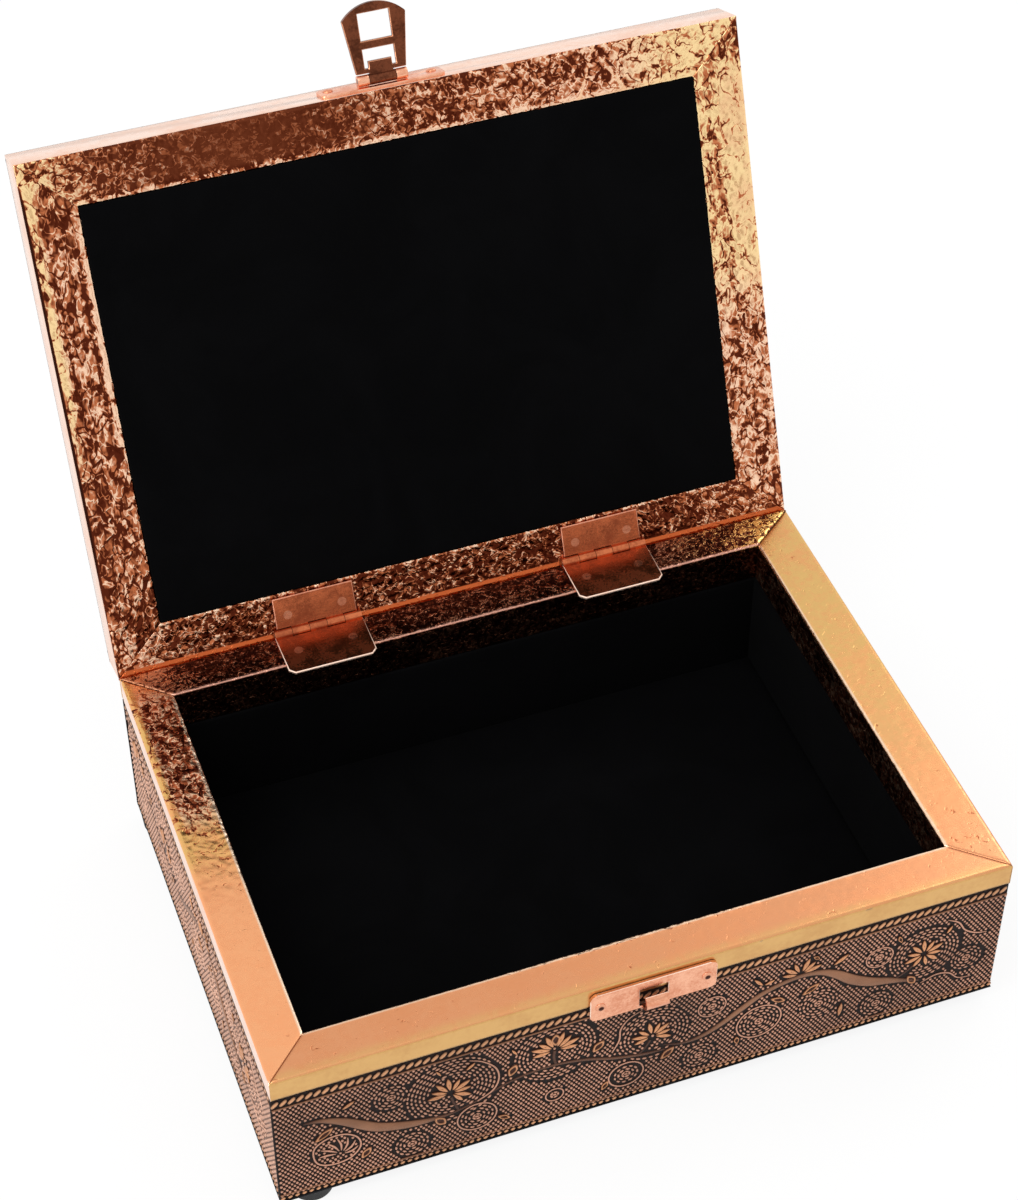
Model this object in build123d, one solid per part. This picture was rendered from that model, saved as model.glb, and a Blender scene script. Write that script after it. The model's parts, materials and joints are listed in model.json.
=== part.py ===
from build123d import *
import os

# A hinged wooden keepsake box clad in embossed copper sheet and copper foil.
# X runs along the width, Y from front to back, Z up; the origin is on the plane that the
# feet stand on, below the middle of the base. The pieces are drawn with the underside of
# the base at z = 0 and those of the lid closed; at the end the lid is turned open and
# the whole box is lifted onto its feet.

# Overall sizes
box_width = 203.0
box_depth = 146.0
base_height = 52.0
lid_height = 14.4
lid_open_angle = 112.0

# Rim of the base, from the outer face to the opening
left_rim = 12.8
right_rim = 14.2
front_rim = 12.4
back_rim = 11.4

# Border of foil round the velvet on the inside of the lid
lid_front_border = 14.3
lid_side_border = 14.6
lid_back_border = 13.6
lid_back_overhang = 2.0

# Sheet, foil, board and cloth thicknesses
sheet_depth = 1.0
foil_depth = 0.4
bottom_board_depth = 4.0
felt_depth = 0.6
lining_depth = 1.0
floor_pad_depth = 2.4
floor_pad_rim_depth = 1.2
floor_pad_crown_inset = 6.0
lid_velvet_depth = 0.8

# Turned-down edges of the rim foil
outer_turn_down = 7.4
inner_turn_down = 13.0

# Feet: the two on the left stand nearly flush with the walls
foot_radius = 6.2
foot_height = 4.0
foot_taper = 0.3
foot_edge_round = 0.5
left_front_foot_insets = (10.0, 6.4)
left_back_foot_insets = (6.2, 6.4)
right_foot_insets = (11.0, 11.0)

# Butt hinges
hinge_offset = 43.4
hinge_seam = 1.7
hinge_axis_setback = 0.4
leaf_depth = 0.8
base_leaf_width = 25.8
base_leaf_reach = 15.4
leaf_corner_cut = 1.6
lid_leaf_width = 23.6
lid_leaf_reach = 10.4
knuckle_radius = 1.5
knuckle_count = 5
knuckle_gap = 0.15
hinge_pin_radius = 0.8
running_clearance = 0.05
barrel_clearance = 0.2
stop_reach = 4.6
stop_depth = 0.5
stop_root = 0.5
stop_clearance = 0.06

# Flush nails of the hinges
leaf_nail_head_radius = 1.3
leaf_nail_shank_radius = 0.55
leaf_nail_length = 7.0
leaf_nail_spread = 8.0
base_leaf_nail_reach = 7.2
lid_leaf_nail_reach = 4.9

# Domed nails of the catch and of the hasp plate
plate_nail_head_radius = 1.4
plate_nail_head_height = 0.6
plate_nail_shank_radius = 0.55
plate_nail_length = 6.0
plate_nail_spread = 14.6
hasp_nail_lift = 5.3

# Plates of the catch and the hasp
plate_width = 34.8
plate_depth = 0.8
plate_corner = 2.0
catch_plate_drop = 2.4
hasp_plate_height = 8.6
hasp_plate_lift = 1.2
hasp_web_depth = 1.2

# Sprung tongue of the catch
tongue_width = 6.2
tongue_radius = 3.0
tongue_sheet = 0.8
tongue_end_angle = 50.0
tongue_slot_gap = 0.8
tongue_slot_height = 6.5

# Hasp
hasp_pivot_lift = 3.2
hasp_knuckle_radius = 1.5
hasp_knuckle_width = 7.4
hasp_side_knuckle_width = 3.1
hasp_pin_radius = 0.7
hasp_wall_clearance = 0.2
hasp_length = 20.4
hasp_root_half_width = 7.0
hasp_tip_half_width = 8.9
hasp_shoulder_reach = 16.4
hasp_depth = 1.2
hasp_window_half_width = 4.4
hasp_window_start = 10.4
hasp_window_end = 17.8
hasp_bar_start = 8.2
hasp_web_start = 1.8
hasp_web_end = 3.0
hasp_lip_half_width = 3.3
hasp_lip_reach = 4.9

# How far a cutting solid runs past the faces that it cuts
cut_spare = 1.0

# Places worked out from the sizes above
x_left = -box_width / 2
x_right = box_width / 2
y_front = -box_depth / 2
y_back = box_depth / 2
y_lid_back = y_back + lid_back_overhang
lid_bottom = base_height + hinge_seam
lid_top = lid_bottom + lid_height
axis_y = y_back + hinge_axis_setback
axis_z = base_height + hinge_seam / 2
floor_top = felt_depth + bottom_board_depth
lining_top = base_height - inner_turn_down
core_top = base_height - foil_depth
hasp_pivot_y = y_front - plate_depth - hasp_wall_clearance - hasp_knuckle_radius
hasp_pivot_z = lid_bottom + hasp_pivot_lift
tongue_outer_radius = tongue_radius + tongue_sheet / 2
tongue_z = hasp_pivot_z - (hasp_window_start + hasp_window_end) / 2
catch_plate_top = base_height - catch_plate_drop
catch_plate_bottom = tongue_z - tongue_outer_radius

# Solids that hang down from the point they are placed at
hung = (Align.CENTER, Align.CENTER, Align.MAX)


def block(x0, x1, y0, y1, z0, z1):
    """A box between two corners."""
    centre = Pos((x0 + x1) / 2, (y0 + y1) / 2, (z0 + z1) / 2)
    return centre * Box(x1 - x0, y1 - y0, z1 - z0)


def rod(radius, x0, x1, y, z):
    """A round bar along X."""
    return Pos((x0 + x1) / 2, y, z) * Rot(0, 90, 0) * Cylinder(radius, x1 - x0)


def prism(points, z0, z1):
    """An upright prism on a plan outline."""
    outline = make_face(Polyline(*points, close=True))
    return Pos(0, 0, z0) * extrude(outline, amount=z1 - z0)


def opening_edges():
    """The four sides of the opening inside the rim of the base."""
    return x_left + left_rim, x_right - right_rim, y_front + front_rim, y_back - back_rim


def velvet_edges():
    """The four sides of the velvet on the inside of the lid."""
    return (
        x_left + lid_side_border,
        x_right - lid_side_border,
        y_front + lid_front_border,
        y_lid_back - lid_back_border,
    )


def mitred_plan(side, edges, back):
    """Plan of one side of a mitred frame, between an outline and four inner edges."""
    a, b, c, d = edges
    outer = {
        "front": ((x_left, y_front), (x_right, y_front)),
        "right": ((x_right, y_front), (x_right, back)),
        "back": ((x_right, back), (x_left, back)),
        "left": ((x_left, back), (x_left, y_front)),
    }
    inner = {
        "front": ((b, c), (a, c)),
        "right": ((b, d), (b, c)),
        "back": ((a, d), (b, d)),
        "left": ((a, c), (a, d)),
    }
    return [*outer[side], *inner[side]]


def hinge_centres():
    """The hinges' middles along X, by name."""
    return {"left": -hinge_offset, "right": hinge_offset}


def barrel_room():
    """Room for the hinge barrels in the edges that they lie in."""
    reach = base_leaf_width / 2 + barrel_clearance
    radius = knuckle_radius + barrel_clearance
    rooms = [rod(radius, x - reach, x + reach, axis_y, axis_z) for x in hinge_centres().values()]
    return rooms[0] + rooms[1]


def lid_barrel_room():
    """Room for the hinge barrels in the lid, open to its back."""
    reach = base_leaf_width / 2 + barrel_clearance
    behind = [
        block(
            x - reach, x + reach,
            axis_y, y_lid_back + cut_spare,
            axis_z, axis_z + knuckle_radius + barrel_clearance,
        )
        for x in hinge_centres().values()
    ]
    return barrel_room() + behind[0] + behind[1]


def leaf_nail(x, y, z, down):
    """A flush nail, with its head's face at z and its point below it, or above it."""
    cone = leaf_nail_head_radius - leaf_nail_shank_radius
    head = Cone(leaf_nail_shank_radius, leaf_nail_head_radius, cone, align=hung)
    shank = Cylinder(leaf_nail_shank_radius, leaf_nail_length, align=hung)
    nail = head + shank
    return Pos(x, y, z) * (nail if down else Rot(180, 0, 0) * nail)


def base_leaf_nails():
    """The four nails that hold the hinges on the rim."""
    y = y_back - base_leaf_nail_reach
    top = base_height + leaf_depth
    return [
        leaf_nail(x + side * leaf_nail_spread, y, top, True)
        for x in hinge_centres().values()
        for side in (-1, 1)
    ]


def lid_leaf_nails():
    """The four nails that hold the hinges on the lid."""
    y = y_back - lid_leaf_nail_reach
    bottom = lid_bottom - leaf_depth
    return [
        leaf_nail(x + side * leaf_nail_spread, y, bottom, False)
        for x in hinge_centres().values()
        for side in (-1, 1)
    ]


def plate_nail(x, z):
    """A domed nail driven backwards into the front of the box or of the lid."""
    cube = 2 * plate_nail_head_radius
    head = Sphere(plate_nail_head_radius) & Pos(0, 0, cube / 2) * Box(cube, cube, cube)
    head = scale(head, by=(1, 1, plate_nail_head_height / plate_nail_head_radius))
    shank = Cylinder(plate_nail_shank_radius, plate_nail_length, align=hung)
    return Pos(x, y_front - plate_depth, z) * Rot(90, 0, 0) * (head + shank)


def plate_nails(z):
    """The two nails of a plate."""
    return [plate_nail(-plate_nail_spread, z), plate_nail(plate_nail_spread, z)]


def catch_nail_height():
    """Height of the catch plate's nails."""
    return (catch_plate_top + catch_plate_bottom) / 2


def hasp_nail_height():
    """Height of the hasp plate's nails with the lid closed."""
    return lid_bottom + hasp_plate_lift + hasp_nail_lift


def without(body, cutters):
    """A body with holes where other solids pass."""
    for cutter in cutters:
        body = body - cutter
    return body


def base_boards():
    """The four wall boards and the bottom board of the base."""
    a, b, c, d = opening_edges()
    x0, x1 = x_left + sheet_depth, x_right - sheet_depth
    y0, y1 = y_front + sheet_depth, y_back - sheet_depth
    xi0, xi1 = a - foil_depth, b + foil_depth
    yi0, yi1 = c - foil_depth, d + foil_depth
    back = without(block(x0, x1, yi1, y1, felt_depth, core_top), [barrel_room(), *base_leaf_nails()])
    front = without(block(x0, x1, y0, yi0, felt_depth, core_top), plate_nails(catch_nail_height()))
    return {
        "base_front_board": front,
        "base_back_board": back,
        "base_left_board": block(x0, xi0, yi0, yi1, felt_depth, core_top),
        "base_right_board": block(xi1, x1, yi0, yi1, felt_depth, core_top),
        "base_bottom_board": block(xi0, xi1, yi0, yi1, felt_depth, floor_top),
    }


def base_sheets():
    """Embossed sheets on the four outer walls, below the turned-down foil."""
    top = base_height - outer_turn_down
    y0, y1 = y_front + sheet_depth, y_back - sheet_depth
    front = without(block(x_left, x_right, y_front, y0, felt_depth, top), plate_nails(catch_nail_height()))
    return {
        "base_front_embossed_sheet": front,
        "base_back_embossed_sheet": block(x_left, x_right, y1, y_back, felt_depth, top),
        "base_left_embossed_sheet": block(x_left, x_left + sheet_depth, y0, y1, felt_depth, top),
        "base_right_embossed_sheet": block(x_right - sheet_depth, x_right, y0, y1, felt_depth, top),
    }


def base_rim_foils():
    """Mitred foil caps that fold over the rim, down the outside and down the inside."""
    a, b, c, d = opening_edges()
    outer_low = base_height - outer_turn_down
    below, above = lining_top - cut_spare, base_height + cut_spare
    cap = block(x_left, x_right, y_front, y_back, outer_low, base_height)
    cap += block(a - foil_depth, b + foil_depth, c - foil_depth, d + foil_depth, lining_top, outer_low)
    cap -= block(a, b, c, d, below, above)
    x0, x1 = x_left + sheet_depth, x_right - sheet_depth
    y0, y1 = y_front + sheet_depth, y_back - sheet_depth
    core = block(x0, x1, y0, y1, below, core_top)
    core -= block(a - foil_depth, b + foil_depth, c - foil_depth, d + foil_depth, below, above)
    cap -= core
    foils = {}
    for side in ("front", "back", "left", "right"):
        wedge = prism(mitred_plan(side, (a, b, c, d), y_back), below, above)
        foils[side] = cap & wedge
    foils["back"] = without(foils["back"], [barrel_room(), *base_leaf_nails()])
    foils["front"] = without(foils["front"], plate_nails(catch_nail_height()))
    return {f"base_{side}_rim_foil": foil for side, foil in foils.items()}


def base_linings():
    """Velvet-covered cards on the inner walls and the soft pad on the floor."""
    a, b, c, d = opening_edges()
    x0, x1, y0, y1 = a - foil_depth, b + foil_depth, c - foil_depth, d + foil_depth
    xi0, xi1 = x0 + lining_depth, x1 - lining_depth
    yi0, yi1 = y0 + lining_depth, y1 - lining_depth
    return {
        "base_front_lining": block(x0, x1, y0, yi0, floor_top, lining_top),
        "base_back_lining": block(x0, x1, yi1, y1, floor_top, lining_top),
        "base_left_lining": block(x0, xi0, yi0, yi1, floor_top, lining_top),
        "base_right_lining": block(xi1, x1, yi0, yi1, floor_top, lining_top),
        "base_floor_pad": floor_pad(xi0, xi1, yi0, yi1),
    }


def floor_pad(x0, x1, y0, y1):
    """A thin cushion with a crowned top and edges that draw in."""
    middle_x, middle_y = (x0 + x1) / 2, (y0 + y1) / 2
    crown_x, crown_y = x1 - x0 - 2 * floor_pad_crown_inset, y1 - y0 - 2 * floor_pad_crown_inset
    shoulder_z = floor_top + floor_pad_rim_depth
    low = block(x0, x1, y0, y1, floor_top, shoulder_z)
    outer = Pos(middle_x, middle_y, shoulder_z) * Rectangle(x1 - x0, y1 - y0)
    inner = Pos(middle_x, middle_y, floor_top + floor_pad_depth) * Rectangle(crown_x, crown_y)
    return low + loft([outer.face(), inner.face()], ruled=True)


def underside_felt():
    """Felt glued over the bottom board and the lower ends of the walls."""
    return block(x_left, x_right, y_front, y_back, 0, felt_depth)


def feet():
    """Four round feet under the corners."""
    places = []
    for sx, sy, insets in (
        (-1, -1, left_front_foot_insets), (-1, 1, left_back_foot_insets),
        (1, -1, right_foot_insets), (1, 1, right_foot_insets),
    ):
        places.append(Pos(sx * (box_width / 2 - insets[0]), sy * (box_depth / 2 - insets[1]), 0))
    foot = Cone(foot_radius - foot_taper, foot_radius, foot_height, align=hung)
    foot = fillet(foot.edges().sort_by(Axis.Z)[0], foot_edge_round)
    return Compound(children=[place * foot for place in places])


def knuckle_spans(width, own):
    """Start and end along X of the knuckles of one leaf, about the hinge's middle."""
    step = width / knuckle_count
    first = 0 if own == "base" else 1
    spans = []
    for index in range(first, knuckle_count, 2):
        start = -width / 2 + index * step
        spans.append((start + knuckle_gap / 2, start + step - knuckle_gap / 2))
    return spans


def hinge_knuckles(x, own):
    """The rings of one leaf round the pin."""
    return [
        rod(knuckle_radius, x + s, x + e, axis_y, axis_z) for s, e in knuckle_spans(base_leaf_width, own)
    ]


def knuckle_room(x, other):
    """Room that a leaf leaves for the other leaf's knuckles."""
    radius = knuckle_radius + barrel_clearance
    return [
        rod(radius, x + s - knuckle_gap, x + e + knuckle_gap, axis_y, axis_z)
        for s, e in knuckle_spans(base_leaf_width, other)
    ]


def pin_bore(x):
    """The bore through the knuckles for the hinge pin."""
    reach = base_leaf_width
    return rod(hinge_pin_radius + running_clearance, x - reach, x + reach, axis_y, axis_z)


def hinge_stop(x, start, end):
    """A lug behind a knuckle that the back of the open lid rests on."""
    top = hinge_axis_setback - lid_back_overhang - stop_clearance
    lug = block(start, end, stop_root, stop_reach, top - stop_depth, top)
    lug += block(start, end, stop_root, knuckle_radius / 2, top, 0)
    return Pos(0, axis_y, axis_z) * Rot(90 - lid_open_angle, 0, 0) * lug


def base_leaf(x):
    """The hinge leaf on the rim, with its knuckles and stop lugs."""
    half, reach, cut = base_leaf_width / 2, y_back - base_leaf_reach, leaf_corner_cut
    outline = [
        (x - half, axis_y), (x - half, reach + cut), (x - half + cut, reach),
        (x + half - cut, reach), (x + half, reach + cut), (x + half, axis_y),
    ]
    leaf = prism(outline, base_height, base_height + leaf_depth)
    leaf = without(leaf, knuckle_room(x, "lid"))
    for ring in hinge_knuckles(x, "base"):
        leaf += ring
    for start, end in knuckle_spans(base_leaf_width, "base"):
        leaf += hinge_stop(x, x + start, x + end)
    return without(leaf, [pin_bore(x), *base_leaf_nails()])


def lid_leaf(x):
    """The hinge leaf on the lid, drawn closed."""
    half = lid_leaf_width / 2
    leaf = block(x - half, x + half, y_back - lid_leaf_reach, axis_y, lid_bottom - leaf_depth, lid_bottom)
    leaf = without(leaf, knuckle_room(x, "base"))
    for ring in hinge_knuckles(x, "lid"):
        leaf += ring
    return without(leaf, [pin_bore(x), *lid_leaf_nails()])


def hinge_pin(x):
    """The pin of one hinge."""
    half = base_leaf_width / 2
    return rod(hinge_pin_radius, x - half, x + half, axis_y, axis_z)


def rounded_plate(z0, z1):
    """A thin plate with round corners on the front of the box."""
    face = RectangleRounded(plate_width, z1 - z0, plate_corner)
    plate = extrude(face, amount=plate_depth)
    return Pos(0, y_front, (z0 + z1) / 2) * Rot(90, 0, 0) * plate


def catch_plate():
    """The catch: a plate with a tongue cut free on three sides and bulged outwards.

    The tongue stands where the hasp's window comes down over it.
    """
    outer, inner = tongue_outer_radius, tongue_radius - tongue_sheet / 2
    half, slot_half = tongue_width / 2, tongue_width / 2 + tongue_slot_gap
    slot_low = catch_plate_bottom + tongue_sheet
    slot = block(
        -slot_half, slot_half,
        y_front - plate_depth - cut_spare, y_front + cut_spare,
        slot_low, slot_low + tongue_slot_height,
    )
    plate = rounded_plate(catch_plate_bottom, catch_plate_top) - slot
    mid_y = y_front - plate_depth / 2
    bore_half = half + cut_spare
    ring = rod(outer, -half, half, mid_y, tongue_z) - rod(inner, -bore_half, bore_half, mid_y, tongue_z)
    ring &= block(-half, half, mid_y - 2 * outer, mid_y, tongue_z - 2 * outer, tongue_z + 2 * outer)
    tip = Pos(0, mid_y, tongue_z) * Rot(-tongue_end_angle, 0, 0)
    ring -= tip * block(-bore_half, bore_half, -2 * outer, 2 * outer, 0, 2 * outer)
    return without(plate + ring, plate_nails(catch_nail_height()))


def hasp_plate():
    """The plate on the front of the lid with two knuckles, drawn closed."""
    low = lid_bottom + hasp_plate_lift
    plate = rounded_plate(low, low + hasp_plate_height)
    for side in (-1, 1):
        near = side * (hasp_knuckle_width / 2 + knuckle_gap)
        far = side * (hasp_knuckle_width / 2 + knuckle_gap + hasp_side_knuckle_width)
        x0, x1 = min(near, far), max(near, far)
        plate += rod(hasp_knuckle_radius, x0, x1, hasp_pivot_y, hasp_pivot_z)
        plate += block(x0, x1, hasp_pivot_y, y_front, hasp_pivot_z, hasp_pivot_z + hasp_web_depth)
    bore = rod(hasp_pin_radius, -hasp_tip_half_width, hasp_tip_half_width, hasp_pivot_y, hasp_pivot_z)
    return without(plate, [bore, *plate_nails(hasp_nail_height())])


def hasp_pin():
    """The pin of the hasp, held in the plate's knuckles."""
    half = hasp_knuckle_width / 2 + knuckle_gap + hasp_side_knuckle_width
    return rod(hasp_pin_radius, -half, half, hasp_pivot_y, hasp_pivot_z)


def hasp_outline():
    """The hasp's outline in its own plane, with its pivot on the X axis and its tip up."""
    root, tip = hasp_root_half_width, hasp_tip_half_width
    shoulder, reach = hasp_shoulder_reach, hasp_length
    sides = [
        Line((-root, hasp_web_start), (root, hasp_web_start)),
        Line((root, hasp_web_start), (tip, shoulder)),
        ThreePointArc((tip, shoulder), (0, reach), (-tip, shoulder)),
        Line((-tip, shoulder), (-root, hasp_web_start)),
    ]
    return make_face(Curve() + sides)


def hasp_loop():
    """The swinging hasp with its window, bar and sprung lip, drawn standing straight out."""
    half = hasp_window_half_width
    plan = extrude(hasp_outline(), amount=hasp_depth / 2, both=True)
    deep = hasp_depth
    plan -= block(-half, half, hasp_window_start, hasp_window_end, -deep, deep)
    plan -= block(-half, half, hasp_web_end, hasp_bar_start, -deep, deep)
    lip = block(-hasp_lip_half_width, hasp_lip_half_width, 0, hasp_lip_reach, -deep / 2, deep / 2)
    knuckle = rod(hasp_knuckle_radius, -hasp_knuckle_width / 2, hasp_knuckle_width / 2, 0, 0)
    loop = plan + lip + knuckle
    loop -= rod(hasp_pin_radius + running_clearance, -hasp_tip_half_width, hasp_tip_half_width, 0, 0)
    return Pos(0, hasp_pivot_y, hasp_pivot_z) * Rot(0, 0, 180) * loop


def lid_pieces():
    """The pieces of the lid, drawn closed."""
    x0, x1 = x_left + sheet_depth, x_right - sheet_depth
    y0, y1 = y_front + sheet_depth, y_lid_back - sheet_depth
    face = lid_bottom + foil_depth
    board_top = lid_top - sheet_depth
    hasp_nails = plate_nails(hasp_nail_height())
    hinge_nails = lid_leaf_nails()
    board = block(x0, x1, y0, y1, face, board_top)
    pieces = {
        "lid_board": without(board, [lid_barrel_room(), *hinge_nails, *hasp_nails]),
        "lid_top_embossed_sheet": block(x_left, x_right, y_front, y_lid_back, board_top, lid_top),
        "lid_front_edge_sheet": without(block(x_left, x_right, y_front, y0, face, board_top), hasp_nails),
        "lid_back_edge_sheet": block(x_left, x_right, y1, y_lid_back, face, board_top) - lid_barrel_room(),
        "lid_left_edge_sheet": block(x_left, x0, y0, y1, face, board_top),
        "lid_right_edge_sheet": block(x1, x_right, y0, y1, face, board_top),
    }
    a, b, c, d = velvet_edges()
    for side in ("front", "back", "left", "right"):
        foil = prism(mitred_plan(side, (a, b, c, d), y_lid_back), lid_bottom, face)
        if side == "back":
            foil = without(foil, [lid_barrel_room(), *hinge_nails])
        pieces[f"lid_{side}_frame_foil"] = foil
    pieces["lid_velvet_panel"] = block(a, b, c, d, face - lid_velvet_depth, face)
    for name, x in hinge_centres().items():
        pieces[f"{name}_hinge_lid_leaf"] = lid_leaf(x)
    pieces["hinge_lid_nails"] = Compound(children=hinge_nails)
    pieces["hasp_mount_plate"] = hasp_plate()
    pieces["hasp_nails"] = Compound(children=hasp_nails)
    pieces["hasp_pin"] = hasp_pin()
    return pieces


def base_pieces():
    """The pieces of the base."""
    pieces = {**base_boards(), **base_sheets(), **base_rim_foils(), **base_linings()}
    pieces["underside_felt"] = underside_felt()
    pieces["feet"] = feet()
    for name, x in hinge_centres().items():
        pieces[f"{name}_hinge_base_leaf"] = base_leaf(x)
        pieces[f"{name}_hinge_pin"] = hinge_pin(x)
    pieces["hinge_base_nails"] = Compound(children=base_leaf_nails())
    pieces["catch_plate"] = catch_plate()
    pieces["catch_nails"] = Compound(children=plate_nails(catch_nail_height()))
    return pieces


def opened():
    """The turn that opens the lid, and the hasp with it, about the hinge axis."""
    return Pos(0, axis_y, axis_z) * Rot(-lid_open_angle, 0, 0) * Pos(0, -axis_y, -axis_z)


def main():
    """Writes each piece to its own file, with the lid open and the feet on z = 0."""
    os.makedirs("parts", exist_ok=True)
    pieces = base_pieces()
    turn, stand = opened(), Pos(0, 0, foot_height)
    for name, piece in {**lid_pieces(), "hasp_loop": hasp_loop()}.items():
        pieces[name] = turn * piece
    for name, piece in pieces.items():
        export_step(stand * piece, f"parts/{name}.step")


main()
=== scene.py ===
"""The looks of a hinged keepsake box clad in embossed copper sheet and crinkled copper foil.

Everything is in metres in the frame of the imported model: X along the width, Y from the
front with the catch to the back with the hinges, Z up, feet on z = 0. Sizes that belong to
the ornament are written in millimetres and turned into metres by MM.
"""
import json
import logging
import math
from dataclasses import dataclass, field, replace
from enum import Enum
from functools import cache
from typing import Callable, Iterable, Sequence

import bmesh
import bpy
import numpy as np
from mathutils import Matrix, Vector


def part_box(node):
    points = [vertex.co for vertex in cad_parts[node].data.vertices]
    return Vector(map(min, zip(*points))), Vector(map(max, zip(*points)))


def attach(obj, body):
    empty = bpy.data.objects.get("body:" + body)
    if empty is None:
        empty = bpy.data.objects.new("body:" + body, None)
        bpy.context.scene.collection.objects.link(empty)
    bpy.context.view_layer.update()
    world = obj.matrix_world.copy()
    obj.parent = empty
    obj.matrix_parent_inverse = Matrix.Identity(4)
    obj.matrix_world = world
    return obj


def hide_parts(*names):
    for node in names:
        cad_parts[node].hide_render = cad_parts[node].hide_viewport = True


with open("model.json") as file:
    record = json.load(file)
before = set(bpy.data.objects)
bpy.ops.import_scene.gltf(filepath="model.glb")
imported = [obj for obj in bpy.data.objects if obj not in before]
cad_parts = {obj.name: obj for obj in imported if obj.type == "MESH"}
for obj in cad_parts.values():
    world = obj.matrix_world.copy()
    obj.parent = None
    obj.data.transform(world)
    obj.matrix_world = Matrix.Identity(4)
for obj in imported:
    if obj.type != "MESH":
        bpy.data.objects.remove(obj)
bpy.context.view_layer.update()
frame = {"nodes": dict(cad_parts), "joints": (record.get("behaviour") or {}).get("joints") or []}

MM = 0.001
LOG = logging.getLogger("keepsake_box")

Colour = tuple[float, float, float]
Point2 = tuple[float, float]


def linear(*screen: int) -> Colour:
    """Turns a colour as seen on a screen, in numbers from 0 to 255, into scene-linear values."""
    shares = (value / 255 for value in screen)
    return tuple(v / 12.92 if v <= 0.04045 else ((v + 0.055) / 1.055) ** 2.4 for v in shares)


class Body(Enum):
    """The bodies that a piece can ride on."""

    BASE = "base"
    LID = "lid"
    HASP = "hasp"


class Slot(Enum):
    """The record's material slots."""

    EMBOSSED = "embossed_copper"
    PLAIN = "plain_copper"
    FOIL = "copper_foil"
    VELVET = "black_velvet"
    FELT = "black_felt"
    BRONZE = "dark_bronze"
    PLATE = "copper_plate"


# Node trees


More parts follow.
